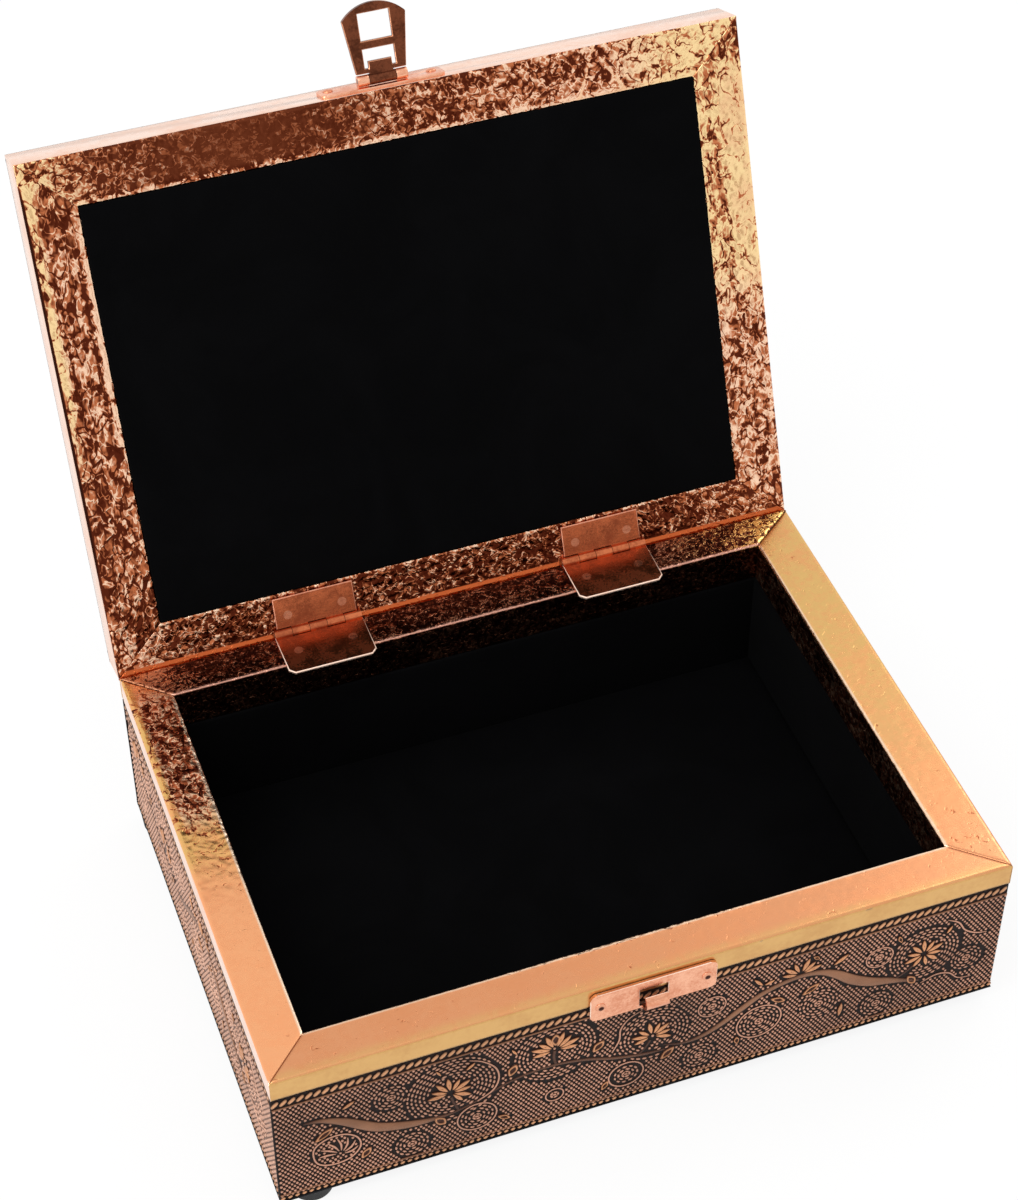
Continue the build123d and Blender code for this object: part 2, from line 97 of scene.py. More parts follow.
class NodeSketch:
    """Adds nodes to a tree and links them in one call each."""

    def __init__(self, tree: bpy.types.NodeTree) -> None:
        """Keeps the tree that gets the nodes."""
        self.tree = tree

    def fill(self, node: bpy.types.Node, inputs: dict | None = None, **named: object) -> bpy.types.Node:
        """Sets or links a node's inputs.

        Args:
            node: The node.
            inputs: Values or sockets, by name or index.
            named: More of them, by name with _ for a space.

        Returns:
            The node.
        """
        spaced = {name.replace("_", " "): value for name, value in named.items()}
        for key, value in {**(inputs or {}), **spaced}.items():
            if isinstance(value, bpy.types.NodeSocket):
                self.tree.links.new(value, node.inputs[key])
            else:
                node.inputs[key].default_value = value
        return node

    def add(self, kind: str, inputs: dict | None = None, **settings: object) -> bpy.types.Node:
        """Adds a node.

        Args:
            kind: The node's type.
            inputs: Values or sockets for its inputs, by name or index.
            settings: Properties of the node.

        Returns:
            The new node.
        """
        node = self.tree.nodes.new(kind)
        for name, value in settings.items():
            setattr(node, name, value)
        return self.fill(node, inputs)

    def group(self, tree: bpy.types.NodeTree, **inputs: object) -> bpy.types.bpy_prop_collection:
        """Places a node group, with inputs by name with _ for a space, and gives its outputs."""
        return self.fill(self.add("ShaderNodeGroup", node_tree=tree), **inputs).outputs

    def attribute(self, name: str, output: str = "Fac") -> bpy.types.NodeSocket:
        """Reads a value stored on the mesh that a material covers."""
        return self.add("ShaderNodeAttribute", attribute_name=name).outputs[output]

    def stored(self, name: str, kind: str = "FLOAT") -> bpy.types.NodeSocket:
        """Reads a value stored on the points of a geometry tree."""
        return self.add("GeometryNodeInputNamedAttribute", {"Name": name}, data_type=kind).outputs[0]

    def place(self) -> bpy.types.NodeSocket:
        """Gives the object coordinates."""
        return self.add("ShaderNodeTexCoord").outputs["Object"]

    def math(self, operation: str, *values: object, clamp: bool = False) -> bpy.types.NodeSocket:
        """Adds a Math node.

        Args:
            operation: What it works out.
            values: Its inputs, numbers or sockets.
            clamp: Whether the result stays from 0 to 1.

        Returns:
            Its output.
        """
        return self.add("ShaderNodeMath", dict(enumerate(values)), operation=operation,
                        use_clamp=clamp).outputs[0]

    def scaled(self, vector: bpy.types.NodeSocket, size: bpy.types.NodeSocket) -> bpy.types.NodeSocket:
        """Multiplies a vector by a number."""
        return self.add("ShaderNodeVectorMath", {0: vector, "Scale": size}, operation="SCALE").outputs[0]

    def ramp(self, value: bpy.types.NodeSocket, low: object, high: object) -> bpy.types.NodeSocket:
        """Maps low..high, numbers or sockets, onto 0..1 with soft ends."""
        return self.add("ShaderNodeMapRange", {0: value, 1: low, 2: high},
                        interpolation_type="SMOOTHSTEP").outputs[0]

    def bump(self, shader: bpy.types.Node, height: bpy.types.NodeSocket, deep: float) -> None:
        """Feeds a height, as deep as a number of millimetres, to a shader's normal."""
        node = self.add("ShaderNodeBump", {"Height": height, "Distance": deep * MM})
        self.fill(shader, Normal=node.outputs[0])

    def ridge(self, value: bpy.types.NodeSocket) -> bpy.types.NodeSocket:
        """Folds a noise into ridges, 1 along its middle value and less away from it."""
        return self.math("SUBTRACT", 1.0, self.math("ABSOLUTE", self.math("MULTIPLY_ADD", value, 2.0, -1.0)))

    def blend(self, share: object, first: object, second: object) -> bpy.types.NodeSocket:
        """Mixes two colours.

        Args:
            share: How much of the second colour, a number or a socket.
            first: A colour or a socket.
            second: A colour or a socket.

        Returns:
            The mixed colour.
        """
        colours = (value if isinstance(value, bpy.types.NodeSocket) else (*value, 1.0)
                   for value in (first, second))
        return self.add("ShaderNodeMix", data_type="RGBA",
                        inputs={0: share, **dict(zip((6, 7), colours))}).outputs[2]

    def noise(self, where: bpy.types.NodeSocket, scale: object, detail: float = 2.0,
              rough: float = 0.5, twist: float = 0.0) -> bpy.types.NodeSocket:
        """Adds a Noise Texture.

        Args:
            where: The coordinates it reads.
            scale: Its scale, a number or a socket.
            detail: Its detail.
            rough: Its roughness.
            twist: Its distortion.

        Returns:
            Its value.
        """
        return self.add("ShaderNodeTexNoise", {"Vector": where, "Scale": scale, "Detail": detail,
                                               "Roughness": rough, "Distortion": twist}).outputs[0]


def new_group(name: str, kind: str, inputs: dict[str, float | int | str],
              outputs: Sequence[str] = ()) -> tuple[NodeSketch, bpy.types.bpy_prop_collection]:
    """Starts a node group with named sockets.

    Args:
        name: The group's name.
        kind: ShaderNodeTree or GeometryNodeTree.
        inputs: For each input its default number, or else its socket's kind.
        outputs: The names of its outputs, which are numbers. A geometry tree puts out geometry.

    Returns:
        A sketch on the new group, and what the group is given, by name.
    """
    tree = bpy.data.node_groups.new(name, kind)
    puts_out = dict.fromkeys(outputs, 0.0) or {"Geometry": "Geometry"}
    for way, sockets in (("INPUT", inputs), ("OUTPUT", puts_out)):
        for label, value in sockets.items():
            form = {float: "Float", int: "Int"}.get(type(value), value)
            socket = tree.interface.new_socket(name=label, in_out=way, socket_type=f"NodeSocket{form}")
            if way == "INPUT" and form != value:
                socket.default_value = value
    sketch = NodeSketch(tree)
    return sketch, sketch.add("NodeGroupInput").outputs


class Effects:
    """The shader node groups that several finishes share, each built once."""

    def __init__(self) -> None:
        """Builds the groups."""
        self.wrinkle = self._wrinkle()
        self.facets = self._painted_facets()
        self.tarnish = self._tarnish()
        self.rubbed = self._rubbed()
        self.nap = self._nap()

    @staticmethod
    def _wrinkle() -> bpy.types.NodeTree:
        """Fine wrinkles of thin foil, as a height.

        Returns:
            The group.
        """
        s, given = new_group("foil_wrinkle", "ShaderNodeTree", {"Scale": 400.0, "Sharpness": 2.0}, ["Height"])
        where = s.place()
        folds = s.ridge(s.noise(where, given["Scale"], 3.0, 0.55, 0.9))
        fine = s.noise(where, s.math("MULTIPLY", given["Scale"], 3.1), 2.0, 0.6, 0.3)
        height = s.math("MULTIPLY_ADD", fine, 0.35, s.math("POWER", folds, given["Sharpness"]))
        s.add("NodeGroupOutput", {"Height": height})
        return s.tree

    @staticmethod
    def _painted_facets() -> bpy.types.NodeTree:
        """Painted reflections of crumpled foil: which facets get a painted highlight and which painted shade,
        from a level of 0 for few highlights to 1 for all.

        Returns:
            The group.
        """
        s, given = new_group("foil_facets", "ShaderNodeTree", {"Level": 0.5, "Scale": 0.62},
                             ["Light", "Middle", "Height"])
        where, value = s.attribute("strip", "Vector"), given["Level"]

        def patches(share: float, detail: float, rough: float) -> bpy.types.NodeSocket:
            """Makes a noise at a share of the group's scale."""
            return s.noise(where, s.math("MULTIPLY", given["Scale"], share), detail, rough, 0.5)

        for share, detail, weight in ((1.35, 1.5, 2.0), (0.3, 2.0, 1.0)):
            facets = s.math("SUBTRACT", patches(share, detail, 0.55), 0.5)
            value = s.math("MULTIPLY_ADD", facets, weight, value)
        # painted highlight lines, then painted dark crease lines, along the ridges of two noises
        for share, weight in ((1.0, 0.5), (0.62, -0.7)):
            painted_ridge_lines = s.ramp(s.ridge(patches(share, 2.0, 0.5)), 0.9, 0.985)
            value = s.math("MULTIPLY_ADD", painted_ridge_lines, weight, value)
        # Light is the share of painted highlight, Middle lifts the painted shade from deep towards middle
        s.add("NodeGroupOutput", {"Light": s.ramp(value, 0.42, 0.82), "Middle": s.ramp(value, 0.0, 0.46),
                                  "Height": s.math("ADD", value, 0.0, clamp=True)})
        return s.tree

    @staticmethod
    def _tarnish() -> bpy.types.NodeTree:
        """Patches of duller metal: a mask and a roughness that follows it.

        Returns:
            The group.
        """
        s, given = new_group("tarnish", "ShaderNodeTree", {
            "Scale": 60.0, "Amount": 0.5, "Smooth": 0.2, "Dull": 0.5}, ["Mask", "Roughness"])
        where = s.place()
        broad = s.noise(where, given["Scale"], 4.0, 0.6, 0.4)
        small = s.noise(where, s.math("MULTIPLY", given["Scale"], 9.0), 2.0, 0.6)
        both = s.math("MULTIPLY_ADD", small, 0.35, s.math("MULTIPLY", broad, 0.65))
        mask = s.math("MULTIPLY", s.ramp(both, 0.38, 0.66), given["Amount"], clamp=True)
        span = s.math("SUBTRACT", given["Dull"], given["Smooth"])
        rough = s.math("MULTIPLY_ADD", mask, span, given["Smooth"])
        s.add("NodeGroupOutput", {"Mask": mask, "Roughness": rough})
        return s.tree

    @staticmethod
    def _rubbed() -> bpy.types.NodeTree:
        """Where an embossed sheet is rubbed bright: its high parts, unevenly.

        Returns:
            The group.
        """
        s, given = new_group("rubbed_relief", "ShaderNodeTree", {"Low": 0.25, "High": 0.8, "Patchiness": 0.3},
                             ["Mask", "Speckle"])
        where = s.place()
        patches = s.ramp(s.noise(where, 45.0, 3.0, 0.6), 0.35, 0.7)
        raised = s.ramp(s.attribute("relief"), given["Low"], given["High"])
        share = s.math("MULTIPLY", patches, given["Patchiness"])
        mask = s.math("MULTIPLY", raised, s.math("SUBTRACT", 1.0, share), clamp=True)
        s.add("NodeGroupOutput", {"Mask": mask, "Speckle": s.noise(where, 900.0, 2.0, 0.6)})
        return s.tree

    @staticmethod
    def _nap() -> bpy.types.NodeTree:
        """The nap of velvet or felt: a fine height and broad strokes of lay.

        Returns:
            The group.
        """
        s, given = new_group("cloth_nap", "ShaderNodeTree", {"Fibre Scale": 2600.0, "Stroke Scale": 30.0},
                             ["Height", "Strokes"])
        where = s.place()
        strokes = s.noise(where, given["Stroke Scale"], 4.0, 0.6, 0.8)
        s.add("NodeGroupOutput", {"Height": s.noise(where, given["Fibre Scale"], 2.0, 0.7),
                                  "Strokes": s.ramp(strokes, 0.35, 0.7)})
        return s.tree


EFFECTS = Effects()
BROAD_TARNISH, SMALL_TARNISH = 70.0, 160.0


# Finishes


@dataclass(frozen=True)
class Finish:
    """A named surface finish. Each kind of finish wires its own material."""

    name: str

    def wire(self, s: NodeSketch, shader: bpy.types.Node) -> None:
        """Wires the nodes to the material's shader."""
        raise NotImplementedError

    def build(self) -> bpy.types.Material:
        """Makes the material.

        Returns:
            The new material.
        """
        made = bpy.data.materials.new(self.name)
        made.use_nodes = True
        self.wire(NodeSketch(made.node_tree), made.node_tree.nodes["Principled BSDF"])
        return made


@dataclass(frozen=True)
class FoilFinish(Finish):
    """Thin copper foil with its reflections painted into its colour: facets with a painted highlight among
    facets in painted shade, as much as the strip's painted light level says.

    Where the strip is calm it lies smooth, in a painted dark reflection between its middle and its deep
    colour. Dark lines are painted as shade into the mitre grooves and gaps, and the fold colour on the
    hems is, on the rims, a painted highlight along the rounded inner fold.
    """

    # pale and gold: painted highlight colours, on the rims also the foil's own colour
    pale: Colour
    gold: Colour
    # middle and deep: painted shade and dark reflections
    middle: Colour
    deep: Colour
    worn: Colour
    # the colour of the painted highlights on foil whose painted light level is low
    painted_glint: Colour
    # laid on the hems: on the rims a painted highlight along the rounded inner fold
    fold: Colour
    facet: float = 0.4
    # painted shade in the mitre grooves and painted shadow in gaps
    line: Colour = linear(52, 24, 16)
    smooth: float = 0.2
    dull: float = 0.4
    relief: float = 0.05

    def wire(self, s: NodeSketch, shader: bpy.types.Node) -> None:
        """Wires the nodes to the material's shader.

        Args:
            s: The material's sketch.
            shader: Its shader.
        """
        crease, tone, gold, hem, calm = map(s.attribute, ("crease", "tone", "gold", "hem", "calm"))
        patch = s.group(EFFECTS.tarnish, Scale=BROAD_TARNISH, Amount=0.6, Smooth=self.smooth, Dull=self.dull)
        facets = s.group(EFFECTS.facets, Scale=self.facet, Level=tone)
        # painted highlight colour, tarnished in patches
        light = s.blend(patch["Mask"], s.blend(gold, self.pale, self.gold), self.worn)
        light = s.blend(s.ramp(tone, 0.75, 1.05), s.blend(gold, self.painted_glint, self.gold), light)
        # painted shade and dark reflections on the facets that miss the light
        shade = s.blend(facets["Middle"], self.deep, self.middle)
        colour = s.blend(facets["Light"], shade, light)
        # where the strip is calm: a smooth painted dark reflection
        plain = s.blend(s.math("MULTIPLY_ADD", facets["Middle"], 0.16, 0.14), self.deep, self.middle)
        colour = s.blend(s.math("MULTIPLY", calm, 0.95), colour, plain)
        # painted shadow in gaps where the painted light level is below -0.5, and painted shade in the mitre
        # grooves
        painted_gap_shadow = s.math("MULTIPLY_ADD", tone, -1.0, -0.5, clamp=True)
        edge = s.math("MAXIMUM", s.math("MULTIPLY", crease, 0.45), painted_gap_shadow, clamp=True)
        colour = s.blend(hem, s.blend(edge, colour, self.line), self.fold)
        s.fill(shader, Metallic=1.0, Base_Color=colour, Roughness=patch["Roughness"])
        s.bump(shader, facets["Height"], self.relief)


@dataclass(frozen=True)
class SheetFinish(Finish):
    """Plain thin sheet with wrinkles finer than the modelled ones."""

    bright: Colour
    deep: Colour
    smooth: float
    dull: float
    wrinkle: float
    tarnish: float = 0.7

    def wire(self, s: NodeSketch, shader: bpy.types.Node) -> None:
        """Wires the nodes to the material's shader.

        Args:
            s: The material's sketch.
            shader: Its shader.
        """
        patch = s.group(EFFECTS.tarnish, Scale=BROAD_TARNISH, Amount=self.tarnish,
                        Smooth=self.smooth, Dull=self.dull)
        lines = s.group(EFFECTS.wrinkle, Scale=420.0, Sharpness=2.2)
        s.fill(shader, Metallic=1.0, Base_Color=s.blend(patch["Mask"], self.bright, self.deep),
               Roughness=patch["Roughness"])
        s.bump(shader, lines["Height"], self.wrinkle)


@dataclass(frozen=True)
class EmbossedFinish(Finish):
    """Antiqued copper: dark in its low parts and rubbed bright on its high ones."""

    bright: Colour
    patina: Colour
    low: float
    high: float
    patchiness: float
    metal: float
    roughness: float

    def wire(self, s: NodeSketch, shader: bpy.types.Node) -> None:
        """Wires the nodes to the material's shader.

        Args:
            s: The material's sketch.
            shader: Its shader.
        """
        rub = s.group(EFFECTS.rubbed, Low=self.low, High=self.high, Patchiness=self.patchiness)
        s.fill(shader, Specular_IOR_Level=0.15, Base_Color=s.blend(rub["Mask"], self.patina, self.bright),
               Metallic=s.math("MULTIPLY", rub["Mask"], self.metal),
               Roughness=s.math("MULTIPLY_ADD", rub["Speckle"], 0.25, self.roughness - 0.1))
        s.bump(shader, rub["Speckle"], 0.03)


@dataclass(frozen=True)
class MetalFinish(Finish):
    """Stamped sheet or turned metal with fine scratches and tarnish."""

    bright: Colour
    deep: Colour
    smooth: float
    dull: float
    scratch: float = 0.012
    metal: float = 1.0

    def wire(self, s: NodeSketch, shader: bpy.types.Node) -> None:
        """Wires the nodes to the material's shader.

        Args:
            s: The material's sketch.
            shader: Its shader.
        """
        patch = s.group(EFFECTS.tarnish, Scale=SMALL_TARNISH, Amount=0.8, Smooth=self.smooth, Dull=self.dull)
        turned = s.add("ShaderNodeMapping", {"Vector": s.place(), "Rotation": (0.3, 0.5, 0.9),
                                             "Scale": (0.12, 1.0, 1.0)}).outputs[0]
        s.fill(shader, Metallic=self.metal, Base_Color=s.blend(patch["Mask"], self.bright, self.deep),
               Roughness=patch["Roughness"])
        s.bump(shader, s.noise(turned, 3200.0, 2.0, 0.6), self.scratch)


@dataclass(frozen=True)
class NailFinish(Finish):
    """The heads of a pair of nails set apart along X: a ring of rubbed metal round a pit darkened with
    painted shade.
    """

    ring: Colour
    pit: Colour
    spread: float
    height: float
    pit_radius: float = 0.75

    def wire(self, s: NodeSketch, shader: bpy.types.Node) -> None:
        """Wires the nodes to the material's shader.

        Args:
            s: The material's sketch.
            shader: Its shader.
        """
        where = s.add("ShaderNodeSeparateXYZ", {0: s.place()}).outputs
        across = s.math("SUBTRACT", s.math("ABSOLUTE", where[0]), self.spread)
        up = s.math("SUBTRACT", where[2], self.height)
        far = s.math("SQRT", s.math("ADD", s.math("MULTIPLY", across, across), s.math("MULTIPLY", up, up)))
        share = s.ramp(far, self.pit_radius * 0.75 * MM, self.pit_radius * 1.25 * MM)
        # the dark pit colour is painted shade of the nail hole
        s.fill(shader, Metallic=1.0, Roughness=0.35, Base_Color=s.blend(share, self.pit, self.ring))
        s.bump(shader, share, 0.15)


@dataclass(frozen=True)
class ClothFinish(Finish):
    """Velvet or felt."""

    colour: Colour
    stroked: Colour
    sheen: float
    fibre: float = 0.08
    fibre_scale: float = 2600.0

    def wire(self, s: NodeSketch, shader: bpy.types.Node) -> None:
        """Wires the nodes to the material's shader.

        Args:
            s: The material's sketch.
            shader: Its shader.
        """
        nap = s.group(EFFECTS.nap, Fibre_Scale=self.fibre_scale, Stroke_Scale=28.0)
        s.fill(shader, Roughness=1.0, Specular_IOR_Level=0.05, Sheen_Weight=self.sheen, Sheen_Roughness=0.4,
               Base_Color=s.blend(nap["Strokes"], self.colour, self.stroked))
        s.bump(shader, nap["Height"], self.fibre)


@dataclass(frozen=True)
class MattFinish(Finish):
    """Rubber or raw fibreboard: a speckled matt surface."""

    colour: Colour
    speck: Colour
    grain: float
    roughness: float

    def wire(self, s: NodeSketch, shader: bpy.types.Node) -> None:
        """Wires the nodes to the material's shader.

        Args:
            s: The material's sketch.
            shader: Its shader.
        """
        grains = s.noise(s.place(), self.grain, 3.0, 0.6)
        s.fill(shader, Specular_IOR_Level=0.3,
               Base_Color=s.blend(s.ramp(grains, 0.4, 0.65), self.colour, self.speck),
               Roughness=s.math("MULTIPLY_ADD", grains, 0.2, self.roughness - 0.1))
        s.bump(shader, grains, 0.04)


def pair_of(node: str) -> tuple[float, float]:
    """Measures a packed pair of nails set apart along X: half their distance and their height."""
    low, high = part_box(node)
    head = (high[2] - low[2]) / 2
    return (high[0] - low[0]) / 2 - head, (low[2] + high[2]) / 2


FINISHES: dict[str, Finish] = {finish.name: finish for finish in (
    FoilFinish("rim_foil", linear(230, 159, 113), linear(225, 182, 114), linear(176, 92, 56),
               linear(78, 30, 19), linear(224, 148, 101), linear(255, 204, 168), linear(255, 222, 190),
               smooth=0.22, dull=0.38, relief=0.06),
    # A paler copy of the rim foil for the left side: painted light of the lamps on the left.
    FoilFinish("rim_foil_left", linear(255, 180, 128), linear(236, 188, 114), linear(186, 100, 62),
               linear(82, 32, 20), linear(252, 170, 118), linear(255, 210, 174), linear(255, 228, 200),
               smooth=0.22, dull=0.38, relief=0.06),
    FoilFinish("rim_foil_back", linear(228, 146, 96), linear(250, 206, 124), linear(124, 66, 45),
               linear(66, 32, 23), linear(196, 112, 72), linear(214, 150, 116), linear(205, 150, 130),
               0.6, smooth=0.2, dull=0.36),
    FoilFinish("lid_foil", linear(255, 208, 168), linear(255, 222, 164), linear(200, 116, 74),
               linear(88, 36, 20), linear(240, 182, 140), linear(255, 214, 182), linear(192, 94, 50),
               smooth=0.14, dull=0.28, relief=0.09),
    SheetFinish("band_foil_khaki", linear(222, 176, 112), linear(200, 148, 92), 0.28, 0.45, 0.01, 0.5),
    SheetFinish("edge_foil_pink", linear(253, 222, 204), linear(244, 198, 172), 0.25, 0.4, 0.004),
    EmbossedFinish("embossed_beads", linear(214, 160, 134), linear(34, 18, 13), 0.1, 0.6, 0.3, 0.85, 0.36),
    # Paler copies for the side walls: painted light of the lamps on the left.
    EmbossedFinish("embossed_beads_side", linear(216, 170, 146), linear(112, 82, 68),
                   0.05, 0.5, 0.25, 0.85, 0.36),
    EmbossedFinish("embossed_ground_side", linear(140, 106, 90), linear(112, 82, 68),
                   0.2, 0.9, 0.4, 0.5, 0.55),
    EmbossedFinish("embossed_ground", linear(60, 40, 32), linear(26, 14, 10), 0.2, 0.9, 0.4, 0.4, 0.6),
    EmbossedFinish("embossed_vine", linear(158, 112, 84), linear(58, 32, 22), 0.1, 0.8, 0.4, 0.6, 0.42),
    EmbossedFinish("embossed_leaf", linear(226, 160, 114), linear(60, 28, 16), 0.35, 0.95, 0.35, 0.9, 0.3),
    EmbossedFinish("embossed_rope", linear(228, 168, 124), linear(40, 20, 12), 0.3, 0.9, 0.25, 0.9, 0.32),
    MetalFinish("plate_copper", linear(250, 186, 152), linear(216, 136, 100), 0.22, 0.42),
    MetalFinish("hinge_copper", linear(214, 120, 78), linear(146, 72, 46), 0.18, 0.38),
    # Finishes of the rounded edges of the fittings: their wear and a painted highlight along them.
    MetalFinish("rubbed_edge", linear(255, 226, 206), linear(250, 206, 182), 0.35, 0.5, metal=0.35),
    MetalFinish("worn_edge", linear(214, 146, 116), linear(186, 112, 84), 0.4, 0.5, metal=0.6),
    MetalFinish("hasp_edge", linear(214, 150, 114), linear(160, 96, 66), 0.2, 0.4),
    MetalFinish("hasp_bronze", linear(132, 76, 52), linear(60, 29, 19), 0.2, 0.45),
    MetalFinish("nail_copper", linear(238, 160, 124), linear(186, 104, 74), 0.22, 0.45),
    NailFinish("nail_pitted", linear(236, 168, 134), linear(60, 24, 14), *pair_of("catch_nails")),
    MetalFinish("pin_steel", linear(150, 134, 122), linear(90, 76, 66), 0.25, 0.5),
    ClothFinish("velvet_black", (0.0010, 0.0010, 0.0012), (0.0016, 0.0016, 0.0019), 0.004),
    ClothFinish("felt_black", (0.012, 0.012, 0.013), (0.02, 0.02, 0.022), 0.1, 0.15, 1500.0),
    MattFinish("rubber_black", (0.012, 0.012, 0.012), (0.022, 0.022, 0.022), 700.0, 0.6),
    MattFinish("board_raw", linear(150, 116, 82), linear(112, 82, 54), 650.0, 0.85),
)}


@cache
def material(name: str) -> bpy.types.Material:
    """Gives the material of the finish of that name, made at its first use."""
    return FINISHES[name].build()


# Meshes and geometry node trees


def new_object(name: str, mesh: bpy.types.Mesh) -> bpy.types.Object:
    """Puts a mesh in the scene and gives its object."""
    bpy.context.scene.collection.objects.link(obj := bpy.data.objects.new(name, mesh))
    return obj


def mesh_of(name: str, points: np.ndarray, faces: Iterable[Sequence[int]] = (),
            edges: Iterable[Sequence[int]] = ()) -> bpy.types.Mesh:
    """Makes a mesh.

    Args:
        name: The mesh's name.
        points: Its vertices, one row each.
        faces: Its faces.
        edges: Its loose edges.

    Returns:
        The mesh.
    """
    mesh = bpy.data.meshes.new(name)
    mesh.from_pydata([tuple(map(float, p)) for p in points], [tuple(e) for e in edges],
                     [tuple(map(int, f)) for f in faces])
    mesh.update()
    return mesh


def store(mesh: bpy.types.Mesh, name: str, values: np.ndarray) -> None:
    """Stores a named number, or a row of three, for each vertex."""
    kind, member = ("FLOAT_VECTOR", "vector") if values.ndim == 2 else ("FLOAT", "value")
    mesh.attributes.new(name, kind, "POINT").data.foreach_set(member, values.astype(np.float32).ravel())


def vertices(mesh: bpy.types.Mesh) -> np.ndarray:
    """Reads a mesh's vertices, one row each."""
    flat = np.empty(len(mesh.vertices) * 3, dtype=np.float32)
    mesh.vertices.foreach_get("co", flat)
    return flat.reshape(-1, 3)


def applied(obj: bpy.types.Object) -> bpy.types.Mesh:
    """Turns what an object's modifiers make of it into its plain mesh.

    Args:
        obj: The object.

    Returns:
        Its new mesh.
    """
    old = obj.data
    obj.update_tag()
    bpy.context.view_layer.update()
    obj.data = bpy.data.meshes.new_from_object(obj.evaluated_get(bpy.context.evaluated_depsgraph_get()))
    obj.modifiers.clear()
    bpy.data.meshes.remove(old)
    return obj.data


def run_tree(mesh: bpy.types.Mesh, tree: bpy.types.NodeTree, values: dict) -> bpy.types.Mesh:
    """Runs a geometry node tree on a mesh.

    Args:
        mesh: The mesh, which is removed.
        tree: The tree.
        values: Its inputs by name.

    Returns:
        The new plain mesh.
    """
    obj = new_object(mesh.name, mesh)
    modifier = obj.modifiers.new(tree.name, "NODES")
    modifier.node_group = tree
    sockets = {item.name: item.identifier for item in tree.interface.items_tree
               if item.item_type == "SOCKET" and item.in_out == "INPUT"}
    for name, value in values.items():
        modifier[sockets[name]] = value
    result = applied(obj)
    bpy.data.objects.remove(obj)
    return result


def outward(mesh: bpy.types.Mesh) -> None:
    """Drops a closed shape's loose points, turns its faces outwards and shades it smooth.

    Args:
        mesh: The shape.
    """
    build = bmesh.new()
    build.from_mesh(mesh)
    bmesh.ops.delete(build, geom=[v for v in build.verts if not v.link_faces], context="VERTS")
    bmesh.ops.recalc_face_normals(build, faces=build.faces)
    build.to_mesh(mesh)
    build.free()
    mesh.shade_smooth()


def around(sides: int) -> list[float]:
    """Gives evenly spaced directions of a full turn, in radians."""
    return [2 * math.pi * k / sides for k in range(sides)]


def quads(index: np.ndarray) -> np.ndarray:
    """Gives the faces between the points of a grid, as rows of four of their numbers."""
    corners = (index[:-1, :-1], index[:-1, 1:], index[1:, 1:], index[1:, :-1])
    return np.stack(corners, axis=-1).reshape(-1, 4)


def joined(name: str, meshes: Sequence[bpy.types.Mesh]) -> bpy.types.Mesh:
    """Joins meshes into one, each keeping its own material.

    Args:
        name: The new mesh's name.
        meshes: The meshes, which are removed.

    Returns:
        The joined mesh.
    """
    result = bpy.data.meshes.new(name)
    gather = bmesh.new()
    for mesh in meshes:
        own = next(slot for slot in mesh.materials if slot)
        if own.name not in result.materials:
            result.materials.append(own)
        start = len(gather.faces)
        gather.from_mesh(mesh)
        gather.faces.ensure_lookup_table()
        for face in gather.faces[start:]:
            face.material_index = result.materials.find(own.name)
    gather.to_mesh(result)
    gather.free()
    for mesh in meshes:
        bpy.data.meshes.remove(mesh)
    return result


